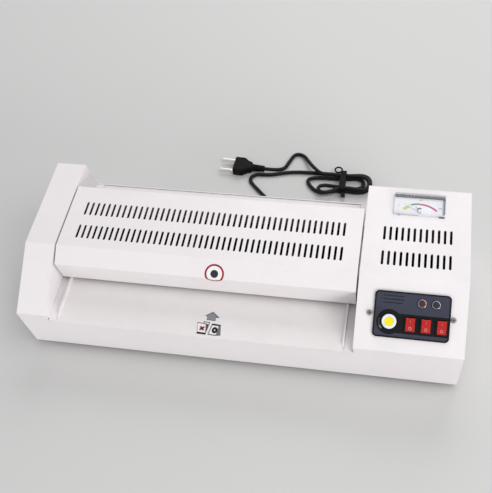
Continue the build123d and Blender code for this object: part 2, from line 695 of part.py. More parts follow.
def heater_shoe(height, start, sweep_angle):
    """A curved aluminium heater round a front roller, over part of a turn, with a flat on its crown."""
    inner = ROLLER_RADIUS + SHOE_GAP
    outer = inner + SHOE_WALL
    ring = Circle(outer) - Circle(inner)
    wedge = [(0.0, 0.0)]
    steps = 4
    for i in range(steps + 1):
        angle = math.radians(start + sweep_angle * i / steps)
        wedge.append((2 * outer * math.cos(angle), 2 * outer * math.sin(angle)))
    face = Pos(FRONT_NIP, height) * (ring & outline(wedge))
    return across(face, SHOE_LEFT, SHOE_RIGHT)


def upper_heater_shoe():
    """The shoe over the upper front roller, with two raised seats for the thermostats."""
    shoe = heater_shoe(UPPER_AXIS, 20, 170)
    crown = UPPER_AXIS + ROLLER_RADIUS + SHOE_GAP + SHOE_WALL
    for x in THERMOSTATS:
        shoe += slab(x - 10, x + 10, FRONT_NIP - 8, FRONT_NIP + 8, crown - 2, crown + 1)
    bore = rod(SHOE_LEFT - 1, SHOE_RIGHT + 1, FRONT_NIP, UPPER_AXIS, ROLLER_RADIUS + SHOE_GAP)
    return shoe - bore


def lower_heater_shoe():
    """The shoe under the lower front roller."""
    return heater_shoe(LOWER_AXIS, 170, 170)


def heater_insulators():
    """Ceramic posts that hold each shoe's ends off the side plates."""
    group = Part()
    middle = ROLLER_RADIUS + SHOE_GAP + SHOE_WALL / 2
    places = [(UPPER_AXIS, angle) for angle in (40, 170)] + [(LOWER_AXIS, angle) for angle in (190, 320)]
    for height, degrees in places:
        depth = FRONT_NIP + middle * math.cos(math.radians(degrees))
        up = height + middle * math.sin(math.radians(degrees))
        group += rod(LEFT_PLATE + PLATE_THICK, SHOE_LEFT, depth, up, INSULATOR_RADIUS)
        group += rod(SHOE_RIGHT, RIGHT_PLATE - PLATE_THICK, depth, up, INSULATOR_RADIUS)
    return group


def thermostats():
    """Two disc thermostats with their blade terminals, on the upper shoe."""
    seat = UPPER_AXIS + ROLLER_RADIUS + SHOE_GAP + SHOE_WALL + 1
    group = Part()
    for x in THERMOSTATS:
        can = Pos(0, 0, THERMOSTAT_HEIGHT / 2) * Cylinder(THERMOSTAT_RADIUS, THERMOSTAT_HEIGHT)
        group += on_case(x, FRONT_NIP, seat) * can
        for side in (-1, 1):
            group += on_case(x + side * 10, FRONT_NIP, seat + THERMOSTAT_HEIGHT - 1) * Box(8, 4, 0.8)
    return group


def control_board():
    """The circuit board on its posts, with a relay, a capacitor, a heat sink and a terminal row."""
    x, depth = CONTROLS_X + 8, DEPTH - BOARD_FROM_BACK
    level = SHEET + 8
    board = on_case(x, depth, level + 0.8) * Box(70, 46, 1.6)
    for dx in (-31, 31):
        for dy in (-19, 19):
            board += on_case(x + dx, depth + dy, SHEET + 4) * Cylinder(3, 8)
    top = level + 1.6
    board += on_case(x - 20, depth - 8, top + 8) * Box(19, 15, 16)
    board += on_case(x + 4, depth - 8, top + 9) * Cylinder(7, 18)
    board += on_case(x + 22, depth - 6, top + 7) * Box(12, 20, 14)
    return board + on_case(x, depth + 17, top + 5) * Box(50, 9, 10)


# Controls

def rounded_plate(width, length, thick, corner):
    """A plate with rounded corners, standing on the zero plane."""
    return extrude(RectangleRounded(width, length, corner), amount=thick)


def control_panel():
    """The moulded panel plate with its raised edge and the openings for switches, lamps and knob."""
    plate = rounded_plate(PANEL_WIDTH, PANEL_LENGTH, PANEL_THICK, PANEL_CORNER)
    recess = rounded_plate(PANEL_WIDTH - 3, PANEL_LENGTH - 3, PANEL_THICK, PANEL_CORNER - 1.5)
    plate -= Pos(0, 0, PANEL_THICK - PANEL_RECESS) * recess
    middle = PANEL_FOOT + PANEL_LENGTH / 2
    for x in switch_places():
        plate -= Pos(x, SWITCH_ROW - middle, 0) * Box(*SWITCH_BODY, 4 * PANEL_THICK)
    for x in LAMPS:
        plate -= Pos(x, LAMP_ROW - middle, 0) * Cylinder(BEZEL_NECK, 4 * PANEL_THICK)
    plate -= Pos(KNOB_AT[0], KNOB_AT[1] - middle, 0) * Cylinder(POT_NECK, 4 * PANEL_THICK)
    return on_slope(0, middle, 0) * plate


def switch_places():
    """The three rockers' places across the panel."""
    return [FIRST_SWITCH + i * SWITCH_PITCH for i in range(3)]


def switch_bodies():
    """Three snap-in switch housings: a frame on the panel, a body behind it and two terminals each."""
    group = Part()
    level = PANEL_THICK - PANEL_RECESS
    frame = Pos(0, 0, level) * rounded_plate(*SWITCH_FRAME, FRAME_RISE, 1.0)
    depth = SWITCH_DEPTH
    body = Pos(0, 0, level - depth / 2) * Box(*SWITCH_BODY, depth)
    well = (PADDLE[0] + 2 * PADDLE_PLAY, PADDLE[1] + 6 * PADDLE_PLAY, 2 * PADDLE_WELL)
    housing = frame + body - Pos(0, 0, level + FRAME_RISE) * Box(*well)
    for y in (-5, 0, 5):
        housing += Pos(0, y, level - depth - 3) * Box(4.8, 0.8, 6)
    for x in switch_places():
        group += on_slope(x, SWITCH_ROW, 0) * housing
    return group


def rocker(index):
    """A rocker paddle, V-shaped on top, tilted on its pivot with its upper end standing up."""
    half = PADDLE[1] / 2
    side = [
        (-half, PADDLE_SIDE),
        (-half, PADDLE_RISE),
        (0, PADDLE_RISE - PADDLE_DIP),
        (half, PADDLE_RISE),
        (half, PADDLE_SIDE),
        (PADDLE_KEEL, -PADDLE_DROP),
        (-PADDLE_KEEL, -PADDLE_DROP),
    ]
    face = outline(side)
    paddle = extrude(Plane.YZ.offset(-PADDLE[0] / 2) * face, amount=PADDLE[0])
    paddle = fillet(paddle.edges().filter_by(Axis.X).group_by(Axis.Z)[-1], 0.8)
    return on_slope(switch_places()[index], SWITCH_ROW, PADDLE_PIVOT) * Rot(PADDLE_TILT, 0, 0) * paddle


def lamp_bezels():
    """Two chromed rings, each with its barrel through the panel."""
    level = PANEL_THICK - PANEL_RECESS
    ring = Pos(0, 0, level + 1.0) * Cylinder(BEZEL_RADIUS, 2.0)
    ring = fillet(ring.edges().sort_by(Axis.Z)[-1], 0.9)
    ring += Pos(0, 0, level - 5) * Cylinder(BEZEL_NECK, 10)
    ring -= Pos(0, 0, level + 1) * Cylinder(LENS_RADIUS, 4)
    group = Part()
    for x in LAMPS:
        group += on_slope(x, LAMP_ROW, 0) * ring
    return group


def lamp_lens(x):
    """A low domed lens in its ring."""
    foot = PANEL_THICK - PANEL_RECESS - 1
    dome = Pos(0, 0, foot + 1.5) * Cylinder(LENS_RADIUS, 3.0)
    dome = fillet(dome.edges().sort_by(Axis.Z)[-1], 1.2)
    return on_slope(x, LAMP_ROW, 0) * dome


def potentiometer():
    """The turning resistor behind the knob, its neck through the panel."""
    level = PANEL_THICK - PANEL_RECESS
    can = Pos(0, 0, -POT_DEPTH / 2) * Cylinder(8, POT_DEPTH)
    can += Pos(0, -10, -POT_DEPTH / 2) * Box(9, 6, 1.2)
    can += Pos(0, 0, level / 2) * Cylinder(POT_NECK, level)
    can += Pos(0, 0, level + 1) * Cylinder(POT_NECK + 1.6, 2)
    return on_slope(*KNOB_AT, 0) * (can - Pos(0, 0, 4) * Cylinder(STUD_RADIUS + RUNNING, 2 * POT_DEPTH + 2))


def knob_shaft():
    """The resistor's shaft, which the knob is pushed on."""
    foot = -POT_DEPTH + 3.5
    top = KNOB_LEVEL + KNOB_HEIGHT - 2
    return on_slope(*KNOB_AT, (foot + top) / 2) * Cylinder(STUD_RADIUS, top - foot)


def knob():
    """The round knob with its pointer groove and a seat for the cap."""
    body = Pos(0, 0, KNOB_HEIGHT / 2) * Cylinder(KNOB_RADIUS, KNOB_HEIGHT)
    body = fillet(body.edges().sort_by(Axis.Z)[-1], 1.2)
    body -= Pos(0, 0, KNOB_HEIGHT) * Cylinder(CAP_RADIUS + RUNNING, 2 * CAP_SEAT)
    body -= Pos(0, 0, (KNOB_HEIGHT - 2) / 2) * Cylinder(STUD_RADIUS, KNOB_HEIGHT - 2)
    body -= Pos(0, 0, 0) * Cylinder(POT_NECK + 2.2, 2 * KNOB_SKIRT)
    body -= Pos(-KNOB_RADIUS + 1, 0, KNOB_HEIGHT) * Box(3.2, 0.8, 0.8)
    return on_slope(*KNOB_AT, KNOB_LEVEL) * Rot(0, 0, KNOB_REST) * body


def knob_cap():
    """The coloured disc in the knob's face."""
    disc = Pos(0, 0, CAP_SEAT / 2) * Cylinder(CAP_RADIUS, CAP_SEAT)
    disc = fillet(disc.edges().sort_by(Axis.Z)[-1], 0.3)
    return on_slope(*KNOB_AT, KNOB_LEVEL + KNOB_HEIGHT - CAP_SEAT) * disc


# Temperature meter

def on_meter(height):
    """The middle of the meter's front edge, at a height above the roof."""
    return on_case(CONTROLS_X, METER_MIDDLE - METER_DEPTH / 2, CASE_HEIGHT + height)


def meter_base():
    """The meter's back moulding on the roof, with the boss of the needle and the neck through the roof."""
    inside = (METER_WIDTH - 2 * METER_WALL - 2 * SEAM, METER_DEPTH - 2 * METER_WALL - 2 * SEAM)
    base = on_meter(METER_BASE / 2) * Pos(0, METER_DEPTH / 2, 0) * Box(*inside, METER_BASE)
    base += on_meter(-METER_BASE * 2) * Pos(0, METER_DEPTH / 2, 0) * Cylinder(METER_NECK, 4 * METER_BASE)
    bore = on_meter(METER_BASE) * Pos(0, NEEDLE_PIVOT, 0) * Cylinder(NEEDLE_PIN + RUNNING, METER_BASE * 1.5)
    return base - bore


def meter_dial():
    """The white scale plate on the base."""
    edge = 2 * (METER_WALL + DIAL_MARGIN)
    middle = on_meter(METER_BASE + DIAL_THICK / 2)
    dial = middle * Pos(0, METER_DEPTH / 2, 0) * Box(METER_WIDTH - edge, METER_DEPTH - edge, DIAL_THICK)
    return dial - middle * Pos(0, NEEDLE_PIVOT, 0) * Cylinder(1.5 * NEEDLE_PIN, 4 * DIAL_THICK)


def meter_cover():
    """The clear cover: a low box with rounded edges, open below."""
    outer = extrude(RectangleRounded(METER_WIDTH, METER_DEPTH, 2.0), amount=METER_HEIGHT)
    outer = fillet(outer.faces().sort_by(Axis.Z)[-1].edges(), 1.2)
    hollow = (METER_WIDTH - 2 * METER_WALL, METER_DEPTH - 2 * METER_WALL, 2 * (METER_HEIGHT - METER_WALL))
    return on_meter(0) * Pos(0, METER_DEPTH / 2, 0) * (outer - Box(*hollow))


def meter_needle():
    """The needle with its balance tail, its hub and its pin in the base."""
    level = METER_BASE + DIAL_THICK + NEEDLE_LIFT
    pin = Pos(0, 0, level / 2 + 0.4) * Cylinder(NEEDLE_PIN, level - 0.4)
    hub = Pos(0, 0, level + 0.4) * Cylinder(NEEDLE_TAIL, 0.8)
    middle = (NEEDLE_LENGTH - NEEDLE_TAIL) / 2
    blade = Pos(0, middle, level + 0.5) * Box(0.6, NEEDLE_LENGTH + NEEDLE_TAIL, 0.4)
    needle = Rot(0, 0, NEEDLE_REST) * (pin + hub + blade)
    return on_meter(0) * Pos(0, NEEDLE_PIVOT, 0) * needle


# Mains cord. Points are X, Y from the front crease and height above the table, chosen by hand.

LEAD_POINTS = [
    (175.0, 235.46, 26.64),
    (175.0, 248.9, 25.0),
    (168.0, 262.0, 15.5),
    (152.0, 268.5, 6.0),
    (129.0, 266.0, 2.7),
    (100.0, 257.5, 2.6),
    (62.0, 253.0, 2.65),
    (30.0, 252.5, 2.6),
    (5.0, 259.5, 2.65),
    (-11.5, 275.5, 2.6),
    (-26.0, 290.5, 2.65),
    (-35.0, 300.5, 2.6),
    (-34.6, 309.2, 2.65),
    (-28.0, 314.4, 2.6),
    (-18.0, 314.6, 2.65),
    (-4.0, 316.0, 2.6),
    (12.0, 321.5, 2.65),
    (30.0, 324.4, 2.6),
    (58.0, 324.1, 3.3),
    (72.0, 324.1, 3.3),
]
TAIL_POINTS = [
    (-18.4, 322.5, 6.2),
    (-9.4, 322.03, 6.2),
    (0.5, 325.3, 3.2),
    (9.5, 328.8, 2.7),
    (14.5, 343.5, 2.65),
    (20.0, 358.3, 2.65),
    (32.5, 357.3, 2.7),
    (42.0, 341.0, 6.4),
    (50.5, 327.5, 10.4),
    (61.0, 318.5, 9.0),
    (72.0, 318.5, 9.0),
]

# The hank, measured from its middle
HANK_MIDDLE = (89.0, 308.5)
HANK_TURNS = 2
HANK_LAYERS = (3.3, 9.0)
HANK_MOUTH = -17.0
HANK_LEAD_IN = 9.5
HANK_LOOP = ((-28.0, -22.5), (-46.5, -2.5), (-41.0, 7.4))
HANK_FLARE = (3.4, 2.4)
HANK_RIGHT = 40.5
HANK_END_STEP = 9.5
HANK_TOP = 15.6
HANK_STEP = 6.5
TIE_AT = 3.0
WAIST_TOP = 13.4
WAIST_FOOT = (-3.0, -12.6)
WAIST_STEP = 5.8
FOLD_AT = -27.0
FOLD_FOOT = -22.3
FOLD_RUN = 12.0
RETURN_FOOT = -10.6
RETURN_TOP = 10.0


def corner_radii(points):
    """The radius at each inner point: 0.45 of the shorter run over the tangent of half the turn."""
    radii = []
    for a, b, c in zip(points, points[1:], points[2:]):
        before = Vector(*b) - Vector(*a)
        after = Vector(*c) - Vector(*b)
        turn = math.radians(before.get_angle(after))
        radii.append(0.45 * min(before.length, after.length) / math.tan(turn / 2))
    return radii


def cord_tube(name, points, radii=None):
    """A round tube along straight runs joined by tangent arcs. It prints its radii and its volume ratio."""
    placed = [(x, FRONT + y, z) for x, y, z in points]
    radii = radii or corner_radii(placed)
    path = FilletPolyline(*placed, radius=radii)
    tube = sweep(Plane(origin=path @ 0, z_dir=path % 0) * Circle(CORD / 2), path=path)
    share = tube.volume / (math.pi * CORD**2 / 4 * path.length)
    print(name, "length", round(path.length, 1), "volume over section by length", round(share, 4))
    print(name, "radii", [round(radius, 1) for radius in radii])
    return tube, path


# The hank: loops round the two ends of a flat bundle in two layers, drawn in where the tie holds it

def hank_points():
    """The hank's corners. The lower layer winds in, folds back at the foot and leaves on the upper layer."""
    low, high = HANK_LAYERS
    points = [(HANK_MOUTH, HANK_TOP, low), (HANK_MOUTH + HANK_LEAD_IN, HANK_TOP, low)]
    for turn in range(HANK_TURNS):
        top = HANK_TOP - HANK_STEP * turn
        foot = -HANK_TOP + HANK_STEP * turn - 1
        right = HANK_RIGHT - HANK_END_STEP * turn
        points.append((TIE_AT, WAIST_TOP - WAIST_STEP * turn, low))
        points += [(right, top + HANK_FLARE[turn], low), (right, foot, low)]
        points.append((WAIST_FOOT[0], WAIST_FOOT[1] + WAIST_STEP * turn, low))
        if turn < HANK_TURNS - 1:
            points += [(u, v, low) for u, v in HANK_LOOP]
    points += [(FOLD_AT, foot, high), (FOLD_AT - 2, FOLD_FOOT, high)]
    points += [(FOLD_AT + FOLD_RUN, FOLD_FOOT - 2, high), (TIE_AT, RETURN_FOOT, high)]
    points += [(HANK_RIGHT - 1.5, -HANK_TOP - 1.5, high), (HANK_RIGHT - 1.5, RETURN_TOP, high)]
    points += [(TIE_AT, RETURN_TOP - 0.6, high), (HANK_MOUTH + HANK_LEAD_IN, RETURN_TOP, high)]
    points.append((HANK_MOUTH, RETURN_TOP, high))
    return [(HANK_MIDDLE[0] + u, HANK_MIDDLE[1] + v, z) for u, v, z in points]


def least_gap(path):
    """The least distance between two places of the cord that are more than three diameters apart along it."""
    count = int(path.length / 1.0)
    places = [path @ (i / count) for i in range(count + 1)]
    apart = int(3 * CORD)
    return min((a - b).length for i, a in enumerate(places) for b in places[i + apart:]) - CORD


def cord_hank():
    """The tied bundle as one unbroken tube."""
    tube, path = cord_tube("hank", hank_points())
    print("hank least gap to itself", round(least_gap(path), 2))
    return tube


def cord_tie():
    """A thin strap round the hank's waist with a twisted tail on one side and a small loop on the other."""
    low, high = HANK_LAYERS
    side = CORD / 2 + TIE_PLAY
    foot = low - CORD / 2 - TIE_LIFT
    size = (2 * (WAIST_TOP + side), high - low + CORD + 2 * TIE_LIFT)
    corner = CORD / 2
    ring = RectangleRounded(size[0] + 2 * TIE_THICK, size[1] + 2 * TIE_THICK, corner + TIE_THICK)
    ring -= RectangleRounded(*size, corner)
    strap = extrude(Plane.YZ * ring, amount=TIE_WIDTH / 2, both=True)
    middle = foot + size[1] / 2
    x, y = HANK_MIDDLE[0] + TIE_AT, FRONT + HANK_MIDDLE[1]
    strap = Pos(x, y, middle) * strap
    reach = size[0] / 2 + TIE_THICK
    tail = Pos(x + 2.5, y - reach - 4.6, middle) * Rot(0, 12, 8) * Box(5.2, 10.0, 1.6)
    loop_at = (x - 0.95 * TIE_WIDTH, y + reach + 0.65 * TIE_LOOP, low + CORD / 2 + 1.8)
    loop = Pos(*loop_at) * Torus(TIE_LOOP, 1.1)
    return strap + tail + loop


# Ends of the cord

def gland_place():
    """The cord outlet's place on the leaning rear wall, its axis pointing out of the wall."""
    lean = math.atan2(HEEL, REAR_CREASE)
    depth = DEPTH - HEEL + HEEL * GLAND_HEIGHT / REAR_CREASE
    origin = (RIGHT - GLAND_FROM_RIGHT, FRONT + depth, FOOT_HEIGHT + GLAND_HEIGHT)
    return Plane(origin=origin, x_dir=(1, 0, 0), z_dir=(0, math.cos(lean), -math.sin(lean)))


def cord_gland():
    """The rubber outlet: a flange each side of the wall and a tapered, grooved sleeve."""
    place = gland_place()
    body = Pos(0, 0, 1) * Cylinder(GLAND_FLANGE, 2)
    body += Pos(0, 0, -SHEET / 2) * Cylinder(GLAND_NECK - RUNNING, SHEET)
    body += Pos(0, 0, -SHEET - 1) * Cylinder(GLAND_FLANGE - 1, 2)
    sleeve = GLAND_LENGTH - 2
    body += Pos(0, 0, 2 + sleeve / 2) * Cone(GLAND_NECK - 0.4, GLAND_TIP, sleeve)
    for step in range(5):
        body -= Pos(0, 0, 7 + 4 * step) * (Cylinder(GLAND_FLANGE, 1.2) - Cylinder(GLAND_TIP + 0.3, 1.2))
    return place * body


def plug_place():
    """The end of the plug's neck, with X towards the pins."""
    x, y, z = TAIL_POINTS[0]
    turn = math.radians(PLUG_TURN)
    return Plane(origin=(x, FRONT + y, z), x_dir=(math.cos(turn), math.sin(turn), 0), z_dir=(0, 0, 1))


def plug_body():
    """The flat two-pin plug: shoulders, waist and a grooved neck."""
    half = PLUG_WIDTH / 2
    end = PLUG_BODY
    side = [(PLUG_NECK, NECK_END), (PLUG_SHOULDER - 4, 0.62 * half), (PLUG_SHOULDER + 2.5, half), (end, half)]
    shape = outline(side + [(x, -y) for x, y in reversed(side)])
    block = extrude(shape, amount=PLUG_THICK / 2, both=True)
    block = fillet(block.edges().filter_by(Axis.Z), 2.4)
    block = chamfer(block.faces().sort_by(Axis.Z)[-1].edges() + block.faces().sort_by(Axis.Z)[0].edges(), 1.6)
    neck = Pos(PLUG_SHOULDER / 2, 0, 0) * Rot(0, 90, 0) * Cone(NECK_START, NECK_END, PLUG_SHOULDER)
    for step in range(4):
        ring = Rot(0, 90, 0) * (Cylinder(8, 1.0) - Cylinder(NECK_START - 0.7, 1.0))
        neck -= Pos(3.5 + 3.2 * step, 0, 0) * ring
    return plug_place() * (block + neck)


def plug_pins():
    """The two round pins, with their tips broken."""
    pins = Part()
    for y in (-PIN_SPACING / 2, PIN_SPACING / 2):
        pin = Pos(PLUG_BODY + PLUG_PIN / 2, y, 0) * Rot(0, 90, 0) * Cylinder(PLUG_PIN_RADIUS, PLUG_PIN)
        pins += chamfer(pin.edges().filter_by(GeomType.CIRCLE).sort_by(Axis.X)[-1], 0.9)
    return plug_place() * pins


# Every piece under its name

PIECES = {
    "base_pan": base_pan,
    "left_end_cover": left_end_cover,
    "right_housing": right_housing,
    "top_cover": top_cover,
    "hinge_pins": hinge_pins,
    "feed_tray": feed_tray,
    "exit_tray": exit_tray,
    "feet": feet,
    "case_screws": case_screws,
    "left_side_plate": lambda: side_plate(LEFT_PLATE, 1),
    "right_side_plate": lambda: side_plate(RIGHT_PLATE - PLATE_THICK, -1),
    "tie_rods": tie_rods,
    "roller_bushes": roller_bushes,
    "pressure_springs": pressure_springs,
    "idler_gear": idler_gear,
    "motor_pinion": motor_pinion,
    "motor_bracket": motor_bracket,
    "gear_motor": gear_motor,
    "upper_heater_shoe": upper_heater_shoe,
    "lower_heater_shoe": lower_heater_shoe,
    "heater_insulators": heater_insulators,
    "thermostats": thermostats,
    "control_board": control_board,
    "control_panel": control_panel,
    "switch_bodies": switch_bodies,
    "power_rocker": lambda: rocker(0),
    "heat_rocker": lambda: rocker(1),
    "direction_rocker": lambda: rocker(2),
    "lamp_bezels": lamp_bezels,
    "heating_lamp_lens": lambda: lamp_lens(LAMPS[0]),
    "ready_lamp_lens": lambda: lamp_lens(LAMPS[1]),
    "potentiometer": potentiometer,
    "knob_shaft": knob_shaft,
    "temperature_knob": knob,
    "knob_cap": knob_cap,
    "meter_base": meter_base,
    "meter_dial": meter_dial,
    "meter_cover": meter_cover,
    "meter_needle": meter_needle,
    "cord_gland": cord_gland,
    "cord_lead": lambda: cord_tube("lead", LEAD_POINTS)[0],
    "cord_hank": cord_hank,
    "cord_tail": lambda: cord_tube("tail", TAIL_POINTS)[0],
    "cord_tie": cord_tie,
    "plug_body": plug_body,
    "plug_pins": plug_pins,
}
for pair, nip in (("front", FRONT_NIP), ("rear", REAR_NIP)):
    for level, axis, phase in (("lower", LOWER_AXIS, 0), ("upper", UPPER_AXIS, 90)):
        place = (nip, axis)
        name = pair + "_" + level
        PIECES[name + "_shaft"] = lambda place=place: roller_shaft(*place)
        PIECES[name + "_sleeve"] = lambda place=place: roller_sleeve(*place)
        turned = (ROLLER_TEETH, phase, *place, SHAFT_RADIUS)
        PIECES[name + "_gear"] = lambda turned=turned: gear(*turned)

os.makedirs("parts", exist_ok=True)
for name, make in PIECES.items():
    export_step(make(), "parts/" + name + ".step")
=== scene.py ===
"""The looks of a table-top roller laminator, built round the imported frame.

Places are metres in the frame of the solids: X along the machine towards the controls, Y from the feed side
to the exit side and Z up, with the origin on the table under the middle of the case. Sizes of details are
millimetres in a Place, which carries them into that frame.
"""

import json
import logging
import math
from dataclasses import dataclass, field
from enum import Enum
from functools import cache
from typing import Any, Sequence

import bpy
import numpy as np
from mathutils import Matrix

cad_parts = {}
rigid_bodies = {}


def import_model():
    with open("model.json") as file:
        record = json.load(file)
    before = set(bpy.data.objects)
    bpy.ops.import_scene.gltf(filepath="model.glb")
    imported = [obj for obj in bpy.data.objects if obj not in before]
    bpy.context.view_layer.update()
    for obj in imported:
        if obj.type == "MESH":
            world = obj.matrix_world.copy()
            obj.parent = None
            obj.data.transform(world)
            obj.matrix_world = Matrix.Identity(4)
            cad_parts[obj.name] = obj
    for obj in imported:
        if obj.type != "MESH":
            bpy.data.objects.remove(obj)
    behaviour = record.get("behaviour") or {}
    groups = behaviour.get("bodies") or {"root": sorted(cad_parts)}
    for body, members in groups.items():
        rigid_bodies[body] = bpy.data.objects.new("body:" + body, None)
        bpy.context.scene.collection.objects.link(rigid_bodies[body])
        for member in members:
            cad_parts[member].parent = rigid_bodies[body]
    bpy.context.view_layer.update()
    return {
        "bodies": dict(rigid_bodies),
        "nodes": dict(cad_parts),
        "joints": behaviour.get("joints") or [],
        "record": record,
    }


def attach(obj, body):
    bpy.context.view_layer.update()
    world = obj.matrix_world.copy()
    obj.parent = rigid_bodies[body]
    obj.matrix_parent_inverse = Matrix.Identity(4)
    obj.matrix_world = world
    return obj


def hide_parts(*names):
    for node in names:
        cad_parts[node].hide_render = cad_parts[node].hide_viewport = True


LOG = logging.getLogger("laminator")
MM = 0.001

Point = tuple[float, float, float]
Colour = tuple[float, float, float]
Faces = list[Sequence[int]]
Form = tuple[np.ndarray, Faces]
Socket = bpy.types.NodeSocket

SHARP_ANGLE = math.radians(35.0)


# Sizes of the case that the details line up with, in millimetres

CASE_HALF_DEPTH = 106.5
FEET = 8.0
FRONT_CREASE = 74.9
ROOF = 118.6
SLOPE_DEPTH = 69.9
TABLE_LEVEL = 65.2
CONTROLS_X = 192.3
LIP_CREASE = (52.0, 105.4)
LIP_FOOT = (59.8, 70.5)
FOLD_RADIUS = 1.8


def srgb(red: float, green: float, blue: float) -> Colour:
    """Turn screen colour values from 0 to 255 into linear ones.

    Args:
        red: The red value.
        green: The green value.
        blue: The blue value.

    Returns:
        The linear colour that the shaders take.
    """
    shares = (value / 255 for value in (red, green, blue))
    linear = [x / 12.92 if x <= 0.04045 else ((x + 0.055) / 1.055) ** 2.4 for x in shares]
    return linear[0], linear[1], linear[2]


class Gloss(Enum):
    """How shiny a surface is. The value is the roughness of its shader."""

    DULL = 0.62
    MATT = 0.5
    SATIN = 0.38
    SEMI = 0.28
    GLOSSY = 0.16
    POLISHED = 0.07


def turned(first: Point, second: Point, degrees: float) -> tuple[Point, Point]:
    """Turn two directions that are square to each other, the first towards the second.

    Args:
        first: The direction that turns towards the other one.
        second: The other one.
        degrees: How far they turn.

    Returns:
        Both directions after the turn.
    """
    cosine, sine = math.cos(math.radians(degrees)), math.sin(math.radians(degrees))
    start, side = np.array(first), np.array(second)
    return tuple(start * cosine + side * sine), tuple(side * cosine - start * sine)


@dataclass(frozen=True)
class Place:
    """A flat working place on the machine: its origin in metres and its three directions."""

    origin: Point
    right: Point = (1.0, 0.0, 0.0)
    up: Point = (0.0, 1.0, 0.0)
    out: Point = (0.0, 0.0, 1.0)

    def world(self, points: np.ndarray) -> np.ndarray:
        """Carry points from the place into the frame: origin plus each number along its direction.

        Args:
            points: Rows of right, up and out, in millimetres.

        Returns:
            Rows of X, Y and Z in metres.
        """
        axes = np.array([self.right, self.up, self.out])
        return np.array(self.origin) + np.asarray(points, float) @ axes * MM

    def moved(self, right: float, up: float, out: float) -> "Place":
        """Return the same place with its origin shifted by millimetres along its own directions."""
        origin = self.world(np.array([[right, up, out]]))[0]
        return Place(tuple(float(v) for v in origin), self.right, self.up, self.out)

    def tilted(self, degrees: float) -> "Place":
        """Return the place turned about its own right direction, so that its upper end stands up."""
        return Place(self.origin, self.right, *turned(self.up, self.out, degrees))

    def spun(self, degrees: float) -> "Place":
        """Return the place turned about its own out direction, from right towards up."""
        return Place(self.origin, *turned(self.right, self.up, degrees), self.out)


def on_case(across: float, depth: float, level: float, angle: float = 0.0) -> Place:
    """Make a place on the case.

    Args:
        across: How far it is from the middle towards the controls, in millimetres.
        depth: How far it is behind the front face.
        level: How far it is above the feet.
        angle: How steeply it rises to the rear, in radians.

    Returns:
        The place.
    """
    return Place(
        (across * MM, (depth - CASE_HALF_DEPTH) * MM, (FEET + level) * MM),
        up=(0.0, math.cos(angle), math.sin(angle)),
        out=(0.0, -math.sin(angle), math.cos(angle)),
    )


SLOPE_ANGLE = math.atan2(ROOF - FRONT_CREASE, SLOPE_DEPTH)
COVER_ANGLE = math.atan2(ROOF - LIP_CREASE[1], SLOPE_DEPTH - LIP_CREASE[0])
LIP_ANGLE = math.atan2(LIP_CREASE[1] - LIP_FOOT[1], LIP_FOOT[0] - LIP_CREASE[0])
LIP_TURN = math.pi - COVER_ANGLE - LIP_ANGLE
CONTROL_SLOPE = on_case(CONTROLS_X, 0.0, FRONT_CREASE, SLOPE_ANGLE)
CONTROL_ROOF = on_case(CONTROLS_X, 0.0, ROOF)
COVER_SLOPE = on_case(0.0, *LIP_CREASE, COVER_ANGLE)
TABLE = on_case(0.0, 0.0, TABLE_LEVEL)


# Meshes worked out as arrays


def grid_faces(rows: int, columns: int, close_rows: bool = False, close_columns: bool = False) -> Faces:
    """List the four-sided faces of a grid of points stored row by row.

    Args:
        rows: The number of rows of points.
        columns: The number of points in a row.
        close_rows: True joins the last row to the first.
        close_columns: True joins the last point of each row to its first.

    Returns:
        The faces as rows of four point numbers.
    """
    down = np.arange(rows if close_rows else rows - 1)
    across = np.arange(columns if close_columns else columns - 1)
    row, column = np.meshgrid(down, across, indexing="ij")
    below, beside = (row + 1) % rows, (column + 1) % columns
    row, below = row * columns, below * columns
    corners = [row + column, below + column, below + beside, row + beside]
    return np.stack(corners, axis=-1).reshape(-1, 4).tolist()


def capped_faces(rows: int, count: int) -> Faces:
    """List the faces of a stack of closed outlines, with a cap on its first and its last one.

    Args:
        rows: The number of outlines in the stack.
        count: The number of points round each of them.

    Returns:
        The faces of a closed form.
    """
    faces = grid_faces(rows, count, close_columns=True)
    last = (rows - 1) * count
    faces.append(list(range(count))[::-1])
    faces.append(list(range(last, last + count)))
    return faces


def swept_round(section: Sequence[tuple[float, float]], steps: int) -> np.ndarray:
    """Turn a section about the out direction: r and h at the angle a give (r cos a, r sin a, h).

    Args:
        section: Pairs of radius and height.
        steps: The number of points round the turn.

    Returns:
        The points, with one turn after another.
    """
    pairs = np.array(section, float)
    angles = np.linspace(0, 2 * math.pi, steps, endpoint=False)
    radius, height = pairs[:, 0:1], pairs[:, 1:2]
    grid = np.stack([radius * np.cos(angles), radius * np.sin(angles), height + 0 * angles], axis=-1)
    return grid.reshape(-1, 3)


def prism(outline: np.ndarray, low: float, high: float) -> Form:
    """Raise a flat outline into a closed slab: each outline point stands at both heights.

    Args:
        outline: Rows of right and up round the outline.
        low: The height of the underside.
        high: The height of the top.

    Returns:
        The points and the faces of a closed form.
    """
    count = len(outline)
    points = np.vstack([np.column_stack([outline, np.full(count, z)]) for z in (low, high)])
    return points, capped_faces(2, count)


